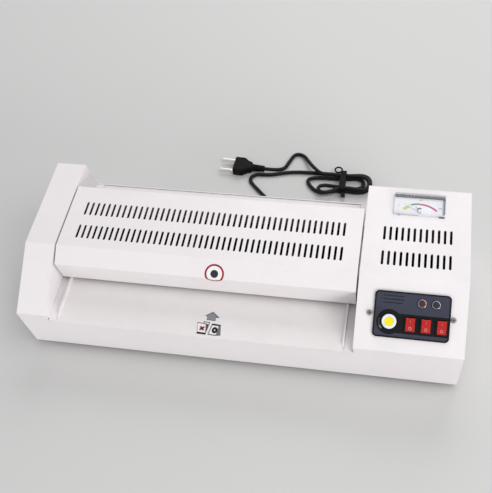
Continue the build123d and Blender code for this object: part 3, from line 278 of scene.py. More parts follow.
def rounded_outline(width: float, length: float, radius: float, steps: int = 6) -> np.ndarray:
    """Draw a rectangle with round corners: each corner is a quarter turn about its own centre.

    Args:
        width: The size along right.
        length: The size along up.
        radius: The radius of the corners.
        steps: The number of steps in each corner.

    Returns:
        Rows of right and up, with the middle at zero.
    """
    quarter = np.linspace(0, math.pi / 2, steps + 1)
    corners = []
    for index, (side, end) in enumerate(((1, 1), (-1, 1), (-1, -1), (1, -1))):
        angle = quarter + index * math.pi / 2
        middle = np.array([side * (width / 2 - radius), end * (length / 2 - radius)])
        corners.append(middle + radius * np.column_stack([np.cos(angle), np.sin(angle)]))
    return np.vstack(corners)


def band_outline(inner: float, outer: float, start: float, end: float, steps: int = 24) -> np.ndarray:
    """Draw a sector of a ring: out along the outer arc and back along the inner one.

    Args:
        inner: The inner radius.
        outer: The outer radius.
        start: The angle of the first end, in degrees from right towards up.
        end: The angle of the last end.
        steps: The number of steps along each arc.

    Returns:
        Rows of right and up round the sector.
    """
    angles = np.radians(np.linspace(start, end, steps + 1))
    circle = np.column_stack([np.cos(angles), np.sin(angles)])
    return np.vstack([outer * circle, inner * circle[::-1]])


def disc_form(radius: float, low: float, high: float, steps: int = 64, bands: int = 16) -> Form:
    """Make a flat disc whose faces are cut into narrow rings, so that it can be bent.

    Args:
        radius: Its radius.
        low: The height of the underside.
        high: The height of the top.
        steps: The number of points round the disc.
        bands: The number of rings, counted from its small middle.

    Returns:
        The points and the faces of a closed form.
    """
    across = np.linspace(radius / (2 * bands), radius, bands)
    section = [(r, low) for r in across] + [(r, high) for r in across[::-1]]
    return swept_round(section, steps), capped_faces(len(section), steps)


def ring_form(
    inner: float, outer: float, low: float, high: float, steps: int = 48, bands: int = 1
) -> Form:
    """Make a flat ring: a flat oblong section turned about the out direction and closed on itself.

    Args:
        inner: The inner radius.
        outer: The outer radius.
        low: The height of the underside.
        high: The height of the top.
        steps: The number of points round the ring.
        bands: The number of narrower rings that its faces are cut into.

    Returns:
        The points and the faces of a closed form.
    """
    across = np.linspace(inner, outer, bands + 1)
    section = [(r, low) for r in across] + [(r, high) for r in across[::-1]]
    faces = grid_faces(len(section), steps, close_rows=True, close_columns=True)
    return swept_round(section, steps), faces


def folded(form: Form, lift: float, radius: float, turn: float) -> Form:
    """Bend a flat form round a crease that runs along right at up = 0: what lies below turns back.

    Args:
        form: The points, with up measured from the crease, and the faces.
        lift: How far the form lies off the sheet.
        radius: The sheet's outer fold radius.
        turn: The angle of the fold in radians.

    Returns:
        The bent points and the same faces.
    """
    points, faces = form
    right, up, out = np.asarray(points, float).T
    start = radius * math.tan(turn / 2)
    run = np.maximum(start - up, 0.0)
    angle = np.minimum(run / radius, turn)
    beyond = np.maximum(run - radius * turn, 0.0)
    arm = radius + out + lift
    bent_up = np.maximum(up, start) - arm * np.sin(angle) - beyond * np.cos(angle)
    bent_out = arm * np.cos(angle) - radius - beyond * np.sin(angle)
    return np.column_stack([right, bent_up, bent_out]), faces


def enclosed_volume(points: np.ndarray, faces: Faces) -> float:
    """Add up the signed volumes of the cones from zero to each face, cut into a fan of triangles.

    Args:
        points: The points of a closed form.
        faces: Its faces.

    Returns:
        The volume, below zero where the faces point inwards.
    """
    fans = [(face[0], face[i], face[i + 1]) for face in faces for i in range(1, len(face) - 1)]
    a, b, c = (points[list(corner)] for corner in zip(*fans))
    return float(np.einsum("ij,ij->i", a, np.cross(b, c)).sum() / 6)


def make_piece(
    name: str, form: Form, place: Place, material: bpy.types.Material, body: str
) -> None:
    """Build a closed piece from a form, with its faces outwards, and let it ride on a body.

    Args:
        name: The piece's name.
        form: Points in the place's millimetres, and faces.
        place: Where the form stands on the machine.
        material: The finish of the piece.
        body: The body that carries it.
    """
    points = place.world(form[0])
    faces = form[1]
    if enclosed_volume(points - points.mean(axis=0), faces) < 0:
        faces = [list(face)[::-1] for face in faces]
    mesh = bpy.data.meshes.new(name)
    mesh.from_pydata(points.tolist(), [], faces)
    mesh.validate()
    mesh.polygons.foreach_set("use_smooth", [True] * len(mesh.polygons))
    mesh.set_sharp_from_angle(angle=SHARP_ANGLE)
    mesh.update()
    mesh.materials.append(material)
    piece = bpy.data.objects.new(name, mesh)
    bpy.context.scene.collection.objects.link(piece)
    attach(piece, body)
    LOG.info("made %s: %d points on %s", name, len(points), body)


def lettering(text: str, height: float, thickness: float, weight: float) -> Form:
    """Turn plain text into a form, with its middle at zero.

    Args:
        text: What it says.
        height: The size of the letters.
        thickness: How far the print stands up.
        weight: How much thicker than usual each stroke is on either side.

    Returns:
        The points, in the place's millimetres, and the faces.
    """
    curve = bpy.data.curves.new("lettering", "FONT")
    curve.body = text
    curve.size = height
    curve.extrude = thickness / 2
    curve.offset = weight
    curve.resolution_u = 3
    curve.align_x = "CENTER"
    curve.align_y = "CENTER"
    holder = bpy.data.objects.new("lettering", curve)
    bpy.context.scene.collection.objects.link(holder)
    mesh = bpy.data.meshes.new_from_object(holder)
    points = np.zeros(len(mesh.vertices) * 3)
    mesh.vertices.foreach_get("co", points)
    faces = [list(polygon.vertices) for polygon in mesh.polygons]
    bpy.data.objects.remove(holder)
    bpy.data.meshes.remove(mesh)
    bpy.data.curves.remove(curve)
    points = points.reshape(-1, 3)
    points[:, 2] += thickness / 2
    return points, faces


# Effects that several finishes share


class Effects:
    """The shader node groups. Each is built once, the first time that a finish asks for it."""

    fine_share = 0.22
    finger_share = 0.17
    broad_part = 0.65
    smudge_range = (0.36, 0.66)
    line_range = (0.3, 0.7)

    @staticmethod
    def _start(name: str, inputs: dict[str, float], outputs: dict[str, str]) -> bpy.types.NodeTree:
        """Open a group with a Vector input, the named numbers and the named outputs.

        Args:
            name: The group's name.
            inputs: The name and first value of each number.
            outputs: The name and socket kind of each output.

        Returns:
            The new group.
        """
        tree = bpy.data.node_groups.new(name, "ShaderNodeTree")
        tree.interface.new_socket("Vector", in_out="INPUT", socket_type="NodeSocketVector")
        for label, value in inputs.items():
            socket = tree.interface.new_socket(label, in_out="INPUT", socket_type="NodeSocketFloat")
            socket.default_value = value
        for label, kind in outputs.items():
            tree.interface.new_socket(label, in_out="OUTPUT", socket_type=kind)
        tree.nodes.new("NodeGroupInput")
        tree.nodes.new("NodeGroupOutput")
        return tree

    @staticmethod
    def _noise(tree: bpy.types.NodeTree, vector: Socket, detail: float, roughness: float) -> Socket:
        """Add a noise texture that reads an already scaled vector, and return its value.

        Args:
            tree: The group.
            vector: The scaled vector.
            detail: How many finer layers it has.
            roughness: How strong the finer layers are.

        Returns:
            The noise's value.
        """
        noise = tree.nodes.new("ShaderNodeTexNoise")
        noise.inputs["Scale"].default_value = 1.0
        noise.inputs["Detail"].default_value = detail
        noise.inputs["Roughness"].default_value = roughness
        tree.links.new(vector, noise.inputs["Vector"])
        return noise.outputs["Fac"]

    @staticmethod
    def _scaled(tree: bpy.types.NodeTree, size: Socket, share: float = 1.0) -> Socket:
        """Divide the group's vector by a size, so that one texture unit is that long.

        Args:
            tree: The group.
            size: The socket that gives the size.
            share: The part of the size that is used.

        Returns:
            The scaled vector.
        """
        source = tree.nodes["Group Input"]
        over = tree.nodes.new("ShaderNodeMath")
        over.operation = "DIVIDE"
        over.inputs[0].default_value = 1.0 / share
        tree.links.new(size, over.inputs[1])
        scale = tree.nodes.new("ShaderNodeVectorMath")
        scale.operation = "SCALE"
        tree.links.new(source.outputs["Vector"], scale.inputs[0])
        tree.links.new(over.outputs[0], scale.inputs["Scale"])
        return scale.outputs["Vector"]

    @staticmethod
    def _range(tree: bpy.types.NodeTree, value: Socket, low: float, high: float) -> Socket:
        """Stretch a value from low and high to 0 and 1 and cut off the rest.

        Args:
            tree: The group.
            value: The value to stretch.
            low: What becomes 0.
            high: What becomes 1.

        Returns:
            The stretched value.
        """
        spread = tree.nodes.new("ShaderNodeMapRange")
        spread.inputs["From Min"].default_value = low
        spread.inputs["From Max"].default_value = high
        tree.links.new(value, spread.inputs["Value"])
        return spread.outputs["Result"]

    @staticmethod
    def _math(
        tree: bpy.types.NodeTree, operation: str, first: Socket | float, second: Socket | float
    ) -> Socket:
        """Add a math node on two sockets or numbers, and return its value.

        Args:
            tree: The group.
            operation: What the node does.
            first: Its first socket or number.
            second: Its second socket or number.

        Returns:
            The result.
        """
        node = tree.nodes.new("ShaderNodeMath")
        node.operation = operation
        for socket, value in zip(node.inputs, (first, second)):
            if isinstance(value, (int, float)):
                socket.default_value = value
            else:
                tree.links.new(value, socket)
        return node.outputs[0]

    @classmethod
    @cache
    def orange_peel(cls) -> bpy.types.NodeTree:
        """The soft dimples of sprayed powder paint: a coarse noise with a little fine noise on it.

        Returns:
            The group.
        """
        tree = cls._start("orange_peel", {"Size": 0.0016, "Fine": 0.25}, {"Height": "NodeSocketFloat"})
        source, result = tree.nodes["Group Input"], tree.nodes["Group Output"]
        coarse = cls._noise(tree, cls._scaled(tree, source.outputs["Size"]), 1.0, 0.4)
        fine = cls._noise(tree, cls._scaled(tree, source.outputs["Size"], cls.fine_share), 2.0, 0.6)
        part = cls._math(tree, "MULTIPLY", fine, source.outputs["Fine"])
        tree.links.new(cls._math(tree, "ADD", coarse, part), result.inputs["Height"])
        return tree

    @classmethod
    @cache
    def handling(cls) -> bpy.types.NodeTree:
        """Uneven gloss and faint smudges: a broad noise and one of finger size, turned into a value.

        Returns:
            The group.
        """
        inputs = {"Size": 0.05, "Low": 0.3, "High": 0.45}
        tree = cls._start("handling", inputs, {"Roughness": "NodeSocketFloat", "Smudge": "NodeSocketFloat"})
        source, result = tree.nodes["Group Input"], tree.nodes["Group Output"]
        broad = cls._noise(tree, cls._scaled(tree, source.outputs["Size"]), 3.0, 0.55)
        close = cls._noise(tree, cls._scaled(tree, source.outputs["Size"], cls.finger_share), 4.0, 0.6)
        broad = cls._math(tree, "MULTIPLY", broad, cls.broad_part)
        close = cls._math(tree, "MULTIPLY", close, 1.0 - cls.broad_part)
        smudge = cls._range(tree, cls._math(tree, "ADD", broad, close), *cls.smudge_range)
        span = cls._math(tree, "SUBTRACT", source.outputs["High"], source.outputs["Low"])
        rough = cls._math(tree, "ADD", cls._math(tree, "MULTIPLY", smudge, span), source.outputs["Low"])
        tree.links.new(rough, result.inputs["Roughness"])
        tree.links.new(smudge, result.inputs["Smudge"])
        return tree

    @classmethod
    @cache
    def drawn_lines(cls) -> bpy.types.NodeTree:
        """The fine parallel lines of rolled or turned metal: noise squeezed across one direction.

        Returns:
            The group.
        """
        inputs = {"Size": 0.0004, "Stretch": 60.0}
        tree = cls._start("drawn_lines", inputs, {"Height": "NodeSocketFloat", "Shade": "NodeSocketFloat"})
        source, result = tree.nodes["Group Input"], tree.nodes["Group Output"]
        scaled = cls._scaled(tree, source.outputs["Size"])
        apart = tree.nodes.new("ShaderNodeSeparateXYZ")
        tree.links.new(scaled, apart.inputs[0])
        along = cls._math(tree, "DIVIDE", apart.outputs["X"], source.outputs["Stretch"])
        together = tree.nodes.new("ShaderNodeCombineXYZ")
        tree.links.new(along, together.inputs["X"])
        tree.links.new(apart.outputs["Y"], together.inputs["Y"])
        tree.links.new(apart.outputs["Z"], together.inputs["Z"])
        lines = cls._noise(tree, together.outputs[0], 3.0, 0.6)
        tree.links.new(lines, result.inputs["Height"])
        tree.links.new(cls._range(tree, lines, *cls.line_range), result.inputs["Shade"])
        return tree

    @classmethod
    @cache
    def moulded_grain(cls) -> bpy.types.NodeTree:
        """The fine pebble of a moulded plastic skin: the distance to the nearest of scattered points.

        Returns:
            The group.
        """
        tree = cls._start("moulded_grain", {"Size": 0.0005}, {"Height": "NodeSocketFloat"})
        source, result = tree.nodes["Group Input"], tree.nodes["Group Output"]
        cells = tree.nodes.new("ShaderNodeTexVoronoi")
        cells.feature = "SMOOTH_F1"
        cells.inputs["Scale"].default_value = 1.0
        tree.links.new(cls._scaled(tree, source.outputs["Size"]), cells.inputs["Vector"])
        tree.links.new(cells.outputs["Distance"], result.inputs["Height"])
        return tree


class Shader:
    """One material's node tree, with short methods for the nodes that the finishes use."""

    def __init__(self, name: str) -> None:
        """Start a material whose patterns read Object coordinates.

        Args:
            name: The material's name.
        """
        self.material = bpy.data.materials.new(name)
        self.material.use_nodes = True
        self.tree = self.material.node_tree
        self.surface = self.tree.nodes["Principled BSDF"]
        self.place = self.tree.nodes.new("ShaderNodeTexCoord").outputs["Object"]

    def plain(self, values: dict[str, Any]) -> None:
        """Set numbers and colours on the shader's own sockets."""
        for label, value in values.items():
            self.surface.inputs[label].default_value = (*value, 1.0) if isinstance(value, tuple) else value

    def effect(self, group: bpy.types.NodeTree, values: dict[str, float]) -> bpy.types.Node:
        """Place a shared effect that reads this material's coordinates, with its own values.

        Args:
            group: The shared effect.
            values: A number for each input that it sets.

        Returns:
            The placed node.
        """
        node = self.tree.nodes.new("ShaderNodeGroup")
        node.node_tree = group
        self.tree.links.new(self.place, node.inputs["Vector"])
        for label, value in values.items():
            node.inputs[label].default_value = value
        return node

    def feed(self, source: Socket, label: str) -> None:
        """Link an output to one of the shader's sockets."""
        self.tree.links.new(source, self.surface.inputs[label])

    def handled(self, gloss: Gloss, size: float, spread: float) -> Socket:
        """Let the gloss vary where hands have been.

        Args:
            gloss: The gloss of a clean place.
            size: The length of the broad patches in metres.
            spread: How much rougher the dullest place is.

        Returns:
            The output that says how smudged a place is.
        """
        values = {"Size": size, "Low": gloss.value, "High": gloss.value + spread}
        marks = self.effect(Effects.handling(), values)
        self.feed(marks.outputs["Roughness"], "Roughness")
        return marks.outputs["Smudge"]

    def bump(self, height: Socket, strength: float, distance: float) -> None:
        """Turn a height into the shader's normal.

        Args:
            height: The output that gives the height.
            strength: How much of the bump shows, from 0 to 1.
            distance: The height of the bump in metres.
        """
        node = self.tree.nodes.new("ShaderNodeBump")
        node.inputs["Strength"].default_value = strength
        node.inputs["Distance"].default_value = distance
        self.tree.links.new(height, node.inputs["Height"])
        self.feed(node.outputs["Normal"], "Normal")

    def blend(self, share: Socket, first: Colour, second: Colour) -> None:
        """Mix two colours by a share that changes over the surface, as the base colour.

        Args:
            share: The output that gives the share.
            first: The colour where it is 0.
            second: The colour where it is 1.
        """
        mix = self.tree.nodes.new("ShaderNodeMix")
        mix.data_type = "RGBA"
        mix.inputs["A"].default_value = (*first, 1.0)
        mix.inputs["B"].default_value = (*second, 1.0)
        self.tree.links.new(share, mix.inputs["Factor"])
        self.feed(mix.outputs["Result"], "Base Color")


@dataclass(frozen=True)
class PowderCoat:
    """Sprayed and baked paint on folded steel sheet, with soft dimples and faint handling marks.

    Here and in the other finishes, marks holds the length of the handled patches in metres and how much
    rougher the dullest of them is.
    """

    name: str
    colour: Colour
    worn: Colour
    gloss: Gloss = Gloss.SATIN
    marks: tuple[float, float] = (0.07, 0.1)
    dimple: float = 0.0015
    dimple_depth: float = 0.00006
    fine: float = 0.2
    bump: float = 0.25
    coat: float = 0.12
    coat_roughness: float = 0.25

    def build(self) -> bpy.types.Material:
        """Make the material.

        Returns:
            The new material.
        """
        shader = Shader(self.name)
        shader.blend(shader.handled(self.gloss, *self.marks), self.colour, self.worn)
        peel = shader.effect(Effects.orange_peel(), {"Size": self.dimple, "Fine": self.fine})
        shader.bump(peel.outputs["Height"], self.bump, self.dimple_depth)
        shader.plain({"Coat Weight": self.coat, "Coat Roughness": self.coat_roughness})
        return shader.material


@dataclass(frozen=True)
class Moulding:
    """Moulded plastic or rubber, with a fine pebble and uneven gloss."""

    name: str
    colour: Colour
    gloss: Gloss = Gloss.SATIN
    grain: float = 0.0005
    grain_depth: float = 0.00002
    marks: tuple[float, float] = (0.02, 0.12)
    shift: float = 0.85
    bump: float = 0.4
    clear: float = 0.0
    clear_depth: float = 0.002
    clear_reach: tuple[float, float, float] = (0.4, 0.1, 0.1)
    specular: float = 0.5

    def build(self) -> bpy.types.Material:
        """Make the material.

        Returns:
            The new material.
        """
        shader = Shader(self.name)
        shader.plain({"Specular IOR Level": self.specular})
        darker = tuple(value * self.shift for value in self.colour)
        shader.blend(shader.handled(self.gloss, *self.marks), self.colour, darker)
        pebble = shader.effect(Effects.moulded_grain(), {"Size": self.grain})
        shader.bump(pebble.outputs["Height"], self.bump, self.grain_depth)
        if self.clear:
            shader.plain({"Subsurface Weight": self.clear, "Subsurface Scale": self.clear_depth})
            shader.plain({"Subsurface Radius": list(self.clear_reach)})
        return shader.material


@dataclass(frozen=True)
class BareMetal:
    """Rolled, turned or plated metal with fine lines along it."""

    name: str
    colour: Colour
    gloss: Gloss = Gloss.SEMI
    line: float = 0.0004
    stretch: float = 60.0
    depth: float = 0.00002
    marks: tuple[float, float] = (0.015, 0.14)
    bump: float = 0.3
    shift: float = 0.82

    def build(self) -> bpy.types.Material:
        """Make the material.

        Returns:
            The new material.
        """
        shader = Shader(self.name)
        shader.plain({"Metallic": 1.0})
        shader.handled(self.gloss, *self.marks)
        lines = shader.effect(Effects.drawn_lines(), {"Size": self.line, "Stretch": self.stretch})
        darker = tuple(value * self.shift for value in self.colour)
        shader.blend(lines.outputs["Shade"], self.colour, darker)
        shader.bump(lines.outputs["Height"], self.bump, self.depth)
        return shader.material


ACRYLIC_IOR = 1.49


@dataclass(frozen=True)
class ClearPlastic:
    """A see-through moulding, such as a lamp's lens."""

    name: str
    colour: Colour
    gloss: Gloss
    transmission: float
    marks: tuple[float, float] = (0.01, 0.05)

    def build(self) -> bpy.types.Material:
        """Make the material.

        Returns:
            The new material.
        """
        shader = Shader(self.name)
        shader.plain({"Base Color": self.colour, "Transmission Weight": self.transmission})
        shader.plain({"IOR": ACRYLIC_IOR, "Metallic": 0.0})
        shader.handled(self.gloss, *self.marks)
        return shader.material


@dataclass(frozen=True)
class ClearCase:
    """A thin clear cover over print: a faint glossy veil that most of the light passes straight through.

    Its marks hold the length of the patches and the least and most roughness.
    """

    name: str
    colour: Colour
    veil: float
    marks: tuple[float, float, float] = (0.01, 0.06, 0.12)

    def build(self) -> bpy.types.Material:
        """Make the material.

        Returns:
            The new material.
        """
        shader = Shader(self.name)
        shader.plain({"Base Color": self.colour, "Alpha": self.veil, "IOR": ACRYLIC_IOR})
        marks = shader.effect(Effects.handling(), dict(zip(("Size", "Low", "High"), self.marks)))
        shader.feed(marks.outputs["Roughness"], "Roughness")
        return shader.material


@dataclass(frozen=True)
class Ink:
    """Screen print on plastic or paint, slightly uneven where the ink is thin."""

    name: str
    colour: Colour
    gloss: Gloss = Gloss.MATT
    marks: tuple[float, float] = (0.004, 0.1)
    specular: float = 0.25
    thin_share: float = 0.94
    thin_lift: float = 0.006

    def build(self) -> bpy.types.Material:
        """Make the material.

        Returns:
            The new material.
        """
        shader = Shader(self.name)
        shader.plain({"Specular IOR Level": self.specular})
        thin = tuple(self.thin_share * value + self.thin_lift for value in self.colour)
        shader.blend(shader.handled(self.gloss, *self.marks), self.colour, thin)
        return shader.material


Finish = PowderCoat | Moulding | BareMetal | ClearPlastic | ClearCase | Ink


@dataclass
class Paints:
    """Every finish of the machine, each made into a material once."""

    made: dict[str, bpy.types.Material] = field(default_factory=dict)

    def get(self, finish: Finish) -> bpy.types.Material:
        """Return the material of a finish, and make it the first time.

        Args:
            finish: The finish.

        Returns:
            Its material.
        """
        if finish.name not in self.made:
            self.made[finish.name] = finish.build()
        return self.made[finish.name]


# The finishes of the machine

SMOOTH_SKIN = {"grain": 0.002, "grain_depth": 0.000004}
CASE_PAINT = PowderCoat("case_paint", srgb(237, 231, 232), srgb(233, 227, 228))
TRAY_PAINT = PowderCoat("tray_paint", srgb(236, 231, 230), srgb(231, 226, 225))
ZINC = BareMetal("zinc_plate", srgb(176, 178, 180), Gloss.SEMI)
TURNED_STEEL = BareMetal("turned_steel", srgb(190, 190, 190), Gloss.GLOSSY, stretch=4.0)
NICKEL = BareMetal("nickel", srgb(246, 243, 238), Gloss.SEMI, line=0.0002, stretch=3.0)
SCREW_STEEL = BareMetal("screw_steel", srgb(146, 143, 138), Gloss.SEMI, line=0.0002, stretch=3.0)
DARK_ALUMINIUM = BareMetal("dark_aluminium", srgb(84, 82, 80), Gloss.SATIN, line=0.0006, stretch=120.0)
CHROME = BareMetal("chrome", srgb(152, 148, 156), Gloss.POLISHED, line=0.0003, stretch=2.0, depth=0.000004)
SILICONE = Moulding("silicone_rubber", srgb(66, 42, 38), Gloss.DULL, grain=0.0004)
BLACK_RUBBER = Moulding("black_rubber", srgb(10, 9, 8), Gloss.DULL, specular=0.18)
ACETAL = Moulding("acetal", srgb(226, 222, 205), Gloss.SEMI, grain=0.0009, grain_depth=0.000008)
STEATITE = Moulding("steatite", srgb(236, 232, 220), Gloss.SEMI, grain=0.0003, grain_depth=0.00001)
BUSH_PLASTIC = Moulding("bush_plastic", srgb(62, 58, 52), Gloss.MATT)
BOARD_GREEN = Moulding("board_green", srgb(28, 92, 52), Gloss.SEMI, grain=0.0012, grain_depth=0.00001)
PANEL_BLACK = Moulding("panel_black", srgb(11, 8, 12), Gloss.MATT, grain=0.0006, specular=0.18)
BLACK_PLASTIC = Moulding("black_plastic", srgb(11, 9, 12), Gloss.SATIN, specular=0.2)
ROCKER_RED = Moulding("rocker_red", srgb(186, 18, 14), Gloss.GLOSSY, **SMOOTH_SKIN, clear=0.15)
KNOB_WHITE = Moulding("knob_white", srgb(236, 240, 248), Gloss.GLOSSY, **SMOOTH_SKIN)
CAP_YELLOW = Moulding("cap_yellow", srgb(255, 232, 22), Gloss.SEMI, **SMOOTH_SKIN)
DIAL_CARD = Moulding("dial_card", srgb(243, 244, 246), Gloss.MATT, grain=0.0008, grain_depth=0.000006)
METER_CLEAR = ClearCase("meter_clear", srgb(238, 236, 244), 0.06)
RED_LENS = ClearPlastic("red_lens", srgb(82, 10, 18), Gloss.SEMI, 0.35)
DARK_LENS = ClearPlastic("dark_lens", srgb(22, 24, 34), Gloss.SEMI, 0.3)
CORD_SHEATH = Moulding(
    "cord_sheath", srgb(11, 9, 8), Gloss.MATT, grain=0.0007, grain_depth=0.00001, specular=0.25
)
NEEDLE_GREY = Moulding("needle_grey", srgb(220, 220, 226), Gloss.MATT)
# A dark and a pale copy of one glossy plastic. They give painted shade and painted highlight on the meter's
# back bar and clips, and the dark one a painted shade line.
PAINTED_SHADE_PLASTIC = Moulding("painted_shade_plastic", srgb(34, 34, 40), Gloss.GLOSSY, **SMOOTH_SKIN)
PAINTED_LIGHT_PLASTIC = Moulding("painted_light_plastic", srgb(172, 172, 178), Gloss.GLOSSY, **SMOOTH_SKIN)
SLATE_INK = Ink("slate_ink", srgb(54, 56, 72))
GREY_INK = Ink("grey_ink", srgb(142, 143, 145))
EDGE_INK = Ink("edge_ink", srgb(112, 112, 116))
FOLD_INK = Ink("fold_ink", srgb(82, 64, 66))
BLACK_INK = Ink("black_ink", srgb(16, 14, 16))
# Dark print; the screw recesses also use it as painted shade.
DARK_INK = Ink("dark_ink", srgb(42, 42, 46))
WHITE_INK = Ink("white_ink", srgb(240, 240, 238))
CRIMSON_INK = Ink("crimson_ink", srgb(158, 24, 42))
PINK_INK = Ink("pink_ink", srgb(232, 150, 138))
ROSE_INK = Ink("rose_ink", srgb(224, 86, 78))
STRIPE_INK = Ink("stripe_ink", srgb(34, 38, 56))
OLIVE_INK = Ink("olive_ink", srgb(58, 64, 44))
PALE_GREEN_INK = Ink("pale_green_ink", srgb(116, 124, 102))
LIME_INK = Ink("lime_ink", srgb(198, 212, 108))
DIAL_GREEN_INK = Ink("dial_green_ink", srgb(96, 146, 126))
DIAL_GREY_INK = Ink("dial_grey_ink", srgb(196, 200, 208))
DIAL_RED_INK = Ink("dial_red_ink", srgb(196, 62, 104))
DIAL_FIGURE_INK = Ink("dial_figure_ink", srgb(84, 88, 98))
# Painted shade: a grey-blue margin on the dial where the meter's right wall shades it.
DIAL_PAINTED_SHADE = Ink("dial_painted_shade", srgb(158, 163, 184))


@dataclass
class Studio:
    """The floor, the soft lights and the camera at the photograph's place.

    A softbox has its name, its place, its side in metres and its power in watts. A far lamp has its name,
    where its light comes from, the angle that it fills in degrees and its strength.
    """

    camera_place: Point = (0.164618, -0.602736, 0.887838)
    camera_right: Point = (0.98277514, 0.1681555, -0.07666002)
    camera_up: Point = (-0.08516689, 0.78024384, 0.61965003)
    camera_forward: Point = (-0.16401107, 0.60244774, -0.78112553)
    focal_pixels: float = 871.175
    long_side_pixels: float = 493.0
    film_width: float = 36.0
    seen_from: float = 0.05
    seen_to: float = 50.0
    aim: Point = (0.0, 0.0, 0.05)
    floor_half: float = 30.0
    floor_level: float = -0.0001
    floor_colour: Colour = srgb(213, 212, 210)
    floor_roughness: float = 0.7
    floor_specular: float = 0.2
    surround: Colour = srgb(222, 222, 223)
    fill: Colour = (0.95, 0.97, 1.0)
    fill_strength: float = 0.48
    softboxes: tuple[tuple[str, Point, float, float], ...] = (
        ("key_light", (1.1, -0.5, 1.8), 1.3, 13.5),
        ("back_light", (0.2, 1.6, 1.7), 1.4, 16.0),
    )
    far_lamps: tuple[tuple[str, Point, float, float], ...] = (
        ("front_light", (1.6, -1.7, 0.5), 29.0, 1.42),
        ("left_light", (-1.6, -1.7, 0.5), 29.0, 0.42),
    )
    bounces: int = 2

    def camera(self) -> None:
        """Make the camera from its three directions and the focal length in pixels."""
        data = bpy.data.cameras.new("camera")
        data.sensor_fit = "AUTO"
        data.sensor_width = self.film_width
        data.lens = self.focal_pixels * data.sensor_width / self.long_side_pixels
        data.clip_start = self.seen_from
        data.clip_end = self.seen_to
        camera = bpy.data.objects.new("camera", data)
        back = tuple(-v for v in self.camera_forward)
        turn = Matrix((self.camera_right, self.camera_up, back)).transposed()
        camera.matrix_world = Matrix.Translation(self.camera_place) @ turn.to_4x4()
        bpy.context.scene.collection.objects.link(camera)
        bpy.context.scene.camera = camera

    def floor(self) -> None:
        """Lay a plain pale floor under the object."""
        half = self.floor_half
        mesh = bpy.data.meshes.new("floor")
        corners = [(-half, -half), (half, -half), (half, half), (-half, half)]
        mesh.from_pydata([(x, y, self.floor_level) for x, y in corners], [], [(0, 1, 2, 3)])
        shader = Shader("floor")
        shader.plain({"Base Color": self.floor_colour, "Roughness": self.floor_roughness})
        shader.plain({"Specular IOR Level": self.floor_specular})
        mesh.materials.append(shader.material)
        floor = bpy.data.objects.new("floor", mesh)
        bpy.context.scene.collection.objects.link(floor)

    def world(self) -> None:
        """Make the surround: plain and pale to the camera, in gloss and through glass, else a soft fill."""
        world = bpy.data.worlds.new("surround")
        world.use_nodes = True
        bpy.context.scene.world = world
        nodes, links = world.node_tree.nodes, world.node_tree.links
        seen, fill = nodes["Background"], nodes.new("ShaderNodeBackground")
        seen.inputs["Color"].default_value = (*self.surround, 1.0)
        fill.inputs["Color"].default_value = (*self.fill, 1.0)
        fill.inputs["Strength"].default_value = self.fill_strength
        rays = nodes.new("ShaderNodeLightPath")
        first, second = nodes.new("ShaderNodeMath"), nodes.new("ShaderNodeMath")
        first.operation = second.operation = "MAXIMUM"
        links.new(rays.outputs["Is Camera Ray"], first.inputs[0])
        links.new(rays.outputs["Is Glossy Ray"], first.inputs[1])
        links.new(first.outputs[0], second.inputs[0])
        links.new(rays.outputs["Is Transmission Ray"], second.inputs[1])
        mix = nodes.new("ShaderNodeMixShader")
        links.new(second.outputs[0], mix.inputs["Fac"])
        links.new(fill.outputs[0], mix.inputs[1])
        links.new(seen.outputs[0], mix.inputs[2])
        links.new(mix.outputs[0], nodes["World Output"].inputs["Surface"])

    def hang(self, name: str, data: bpy.types.Light, place: Point) -> None:
        """Put a lamp at a place, facing the object.

        Args:
            name: The lamp's name.
            data: Its light.
            place: Where it hangs.
        """
        lamp = bpy.data.objects.new(name, data)
        away = np.array(place) - np.array(self.aim)
        away = away / np.linalg.norm(away)
        side = np.cross((0.0, 0.0, 1.0), away)
        side = side / np.linalg.norm(side)
        turn = Matrix((tuple(side), tuple(np.cross(away, side)), tuple(away))).transposed()
        lamp.matrix_world = Matrix.Translation(place) @ turn.to_4x4()
        bpy.context.scene.collection.objects.link(lamp)

    def softbox(self, name: str, place: Point, size: float, power: float) -> None:
        """Hang a square soft light near the object.

        Args:
            name: The lamp's name.
            place: Where it hangs.
            size: The length of its side in metres.
            power: Its power in watts.
        """
        data = bpy.data.lights.new(name, "AREA")
        data.shape = "SQUARE"
        data.size = size
        data.energy = power
        self.hang(name, data, place)

    def far_lamp(self, name: str, place: Point, spread: float, strength: float) -> None:
        """Hang a far soft light that reaches the whole floor evenly.

        Args:
            name: The lamp's name.
            place: Where its light comes from; only the direction to the object counts.
            spread: The angle that the lamp fills, in degrees: more gives softer shadows.
            strength: Its power on a square metre that faces it, in watts.
        """
        data = bpy.data.lights.new(name, "SUN")
        data.energy = strength
        data.angle = math.radians(spread)
        self.hang(name, data, place)

    def build(self) -> None:
        """Set the stage."""
        self.camera()
        self.floor()
        self.world()
        for box in self.softboxes:
            self.softbox(*box)
        for lamp in self.far_lamps:
            self.far_lamp(*lamp)
        bpy.context.scene.cycles.diffuse_bounces = self.bounces
        bpy.context.scene.view_settings.view_transform = "Standard"
        LOG.info("stage is set")


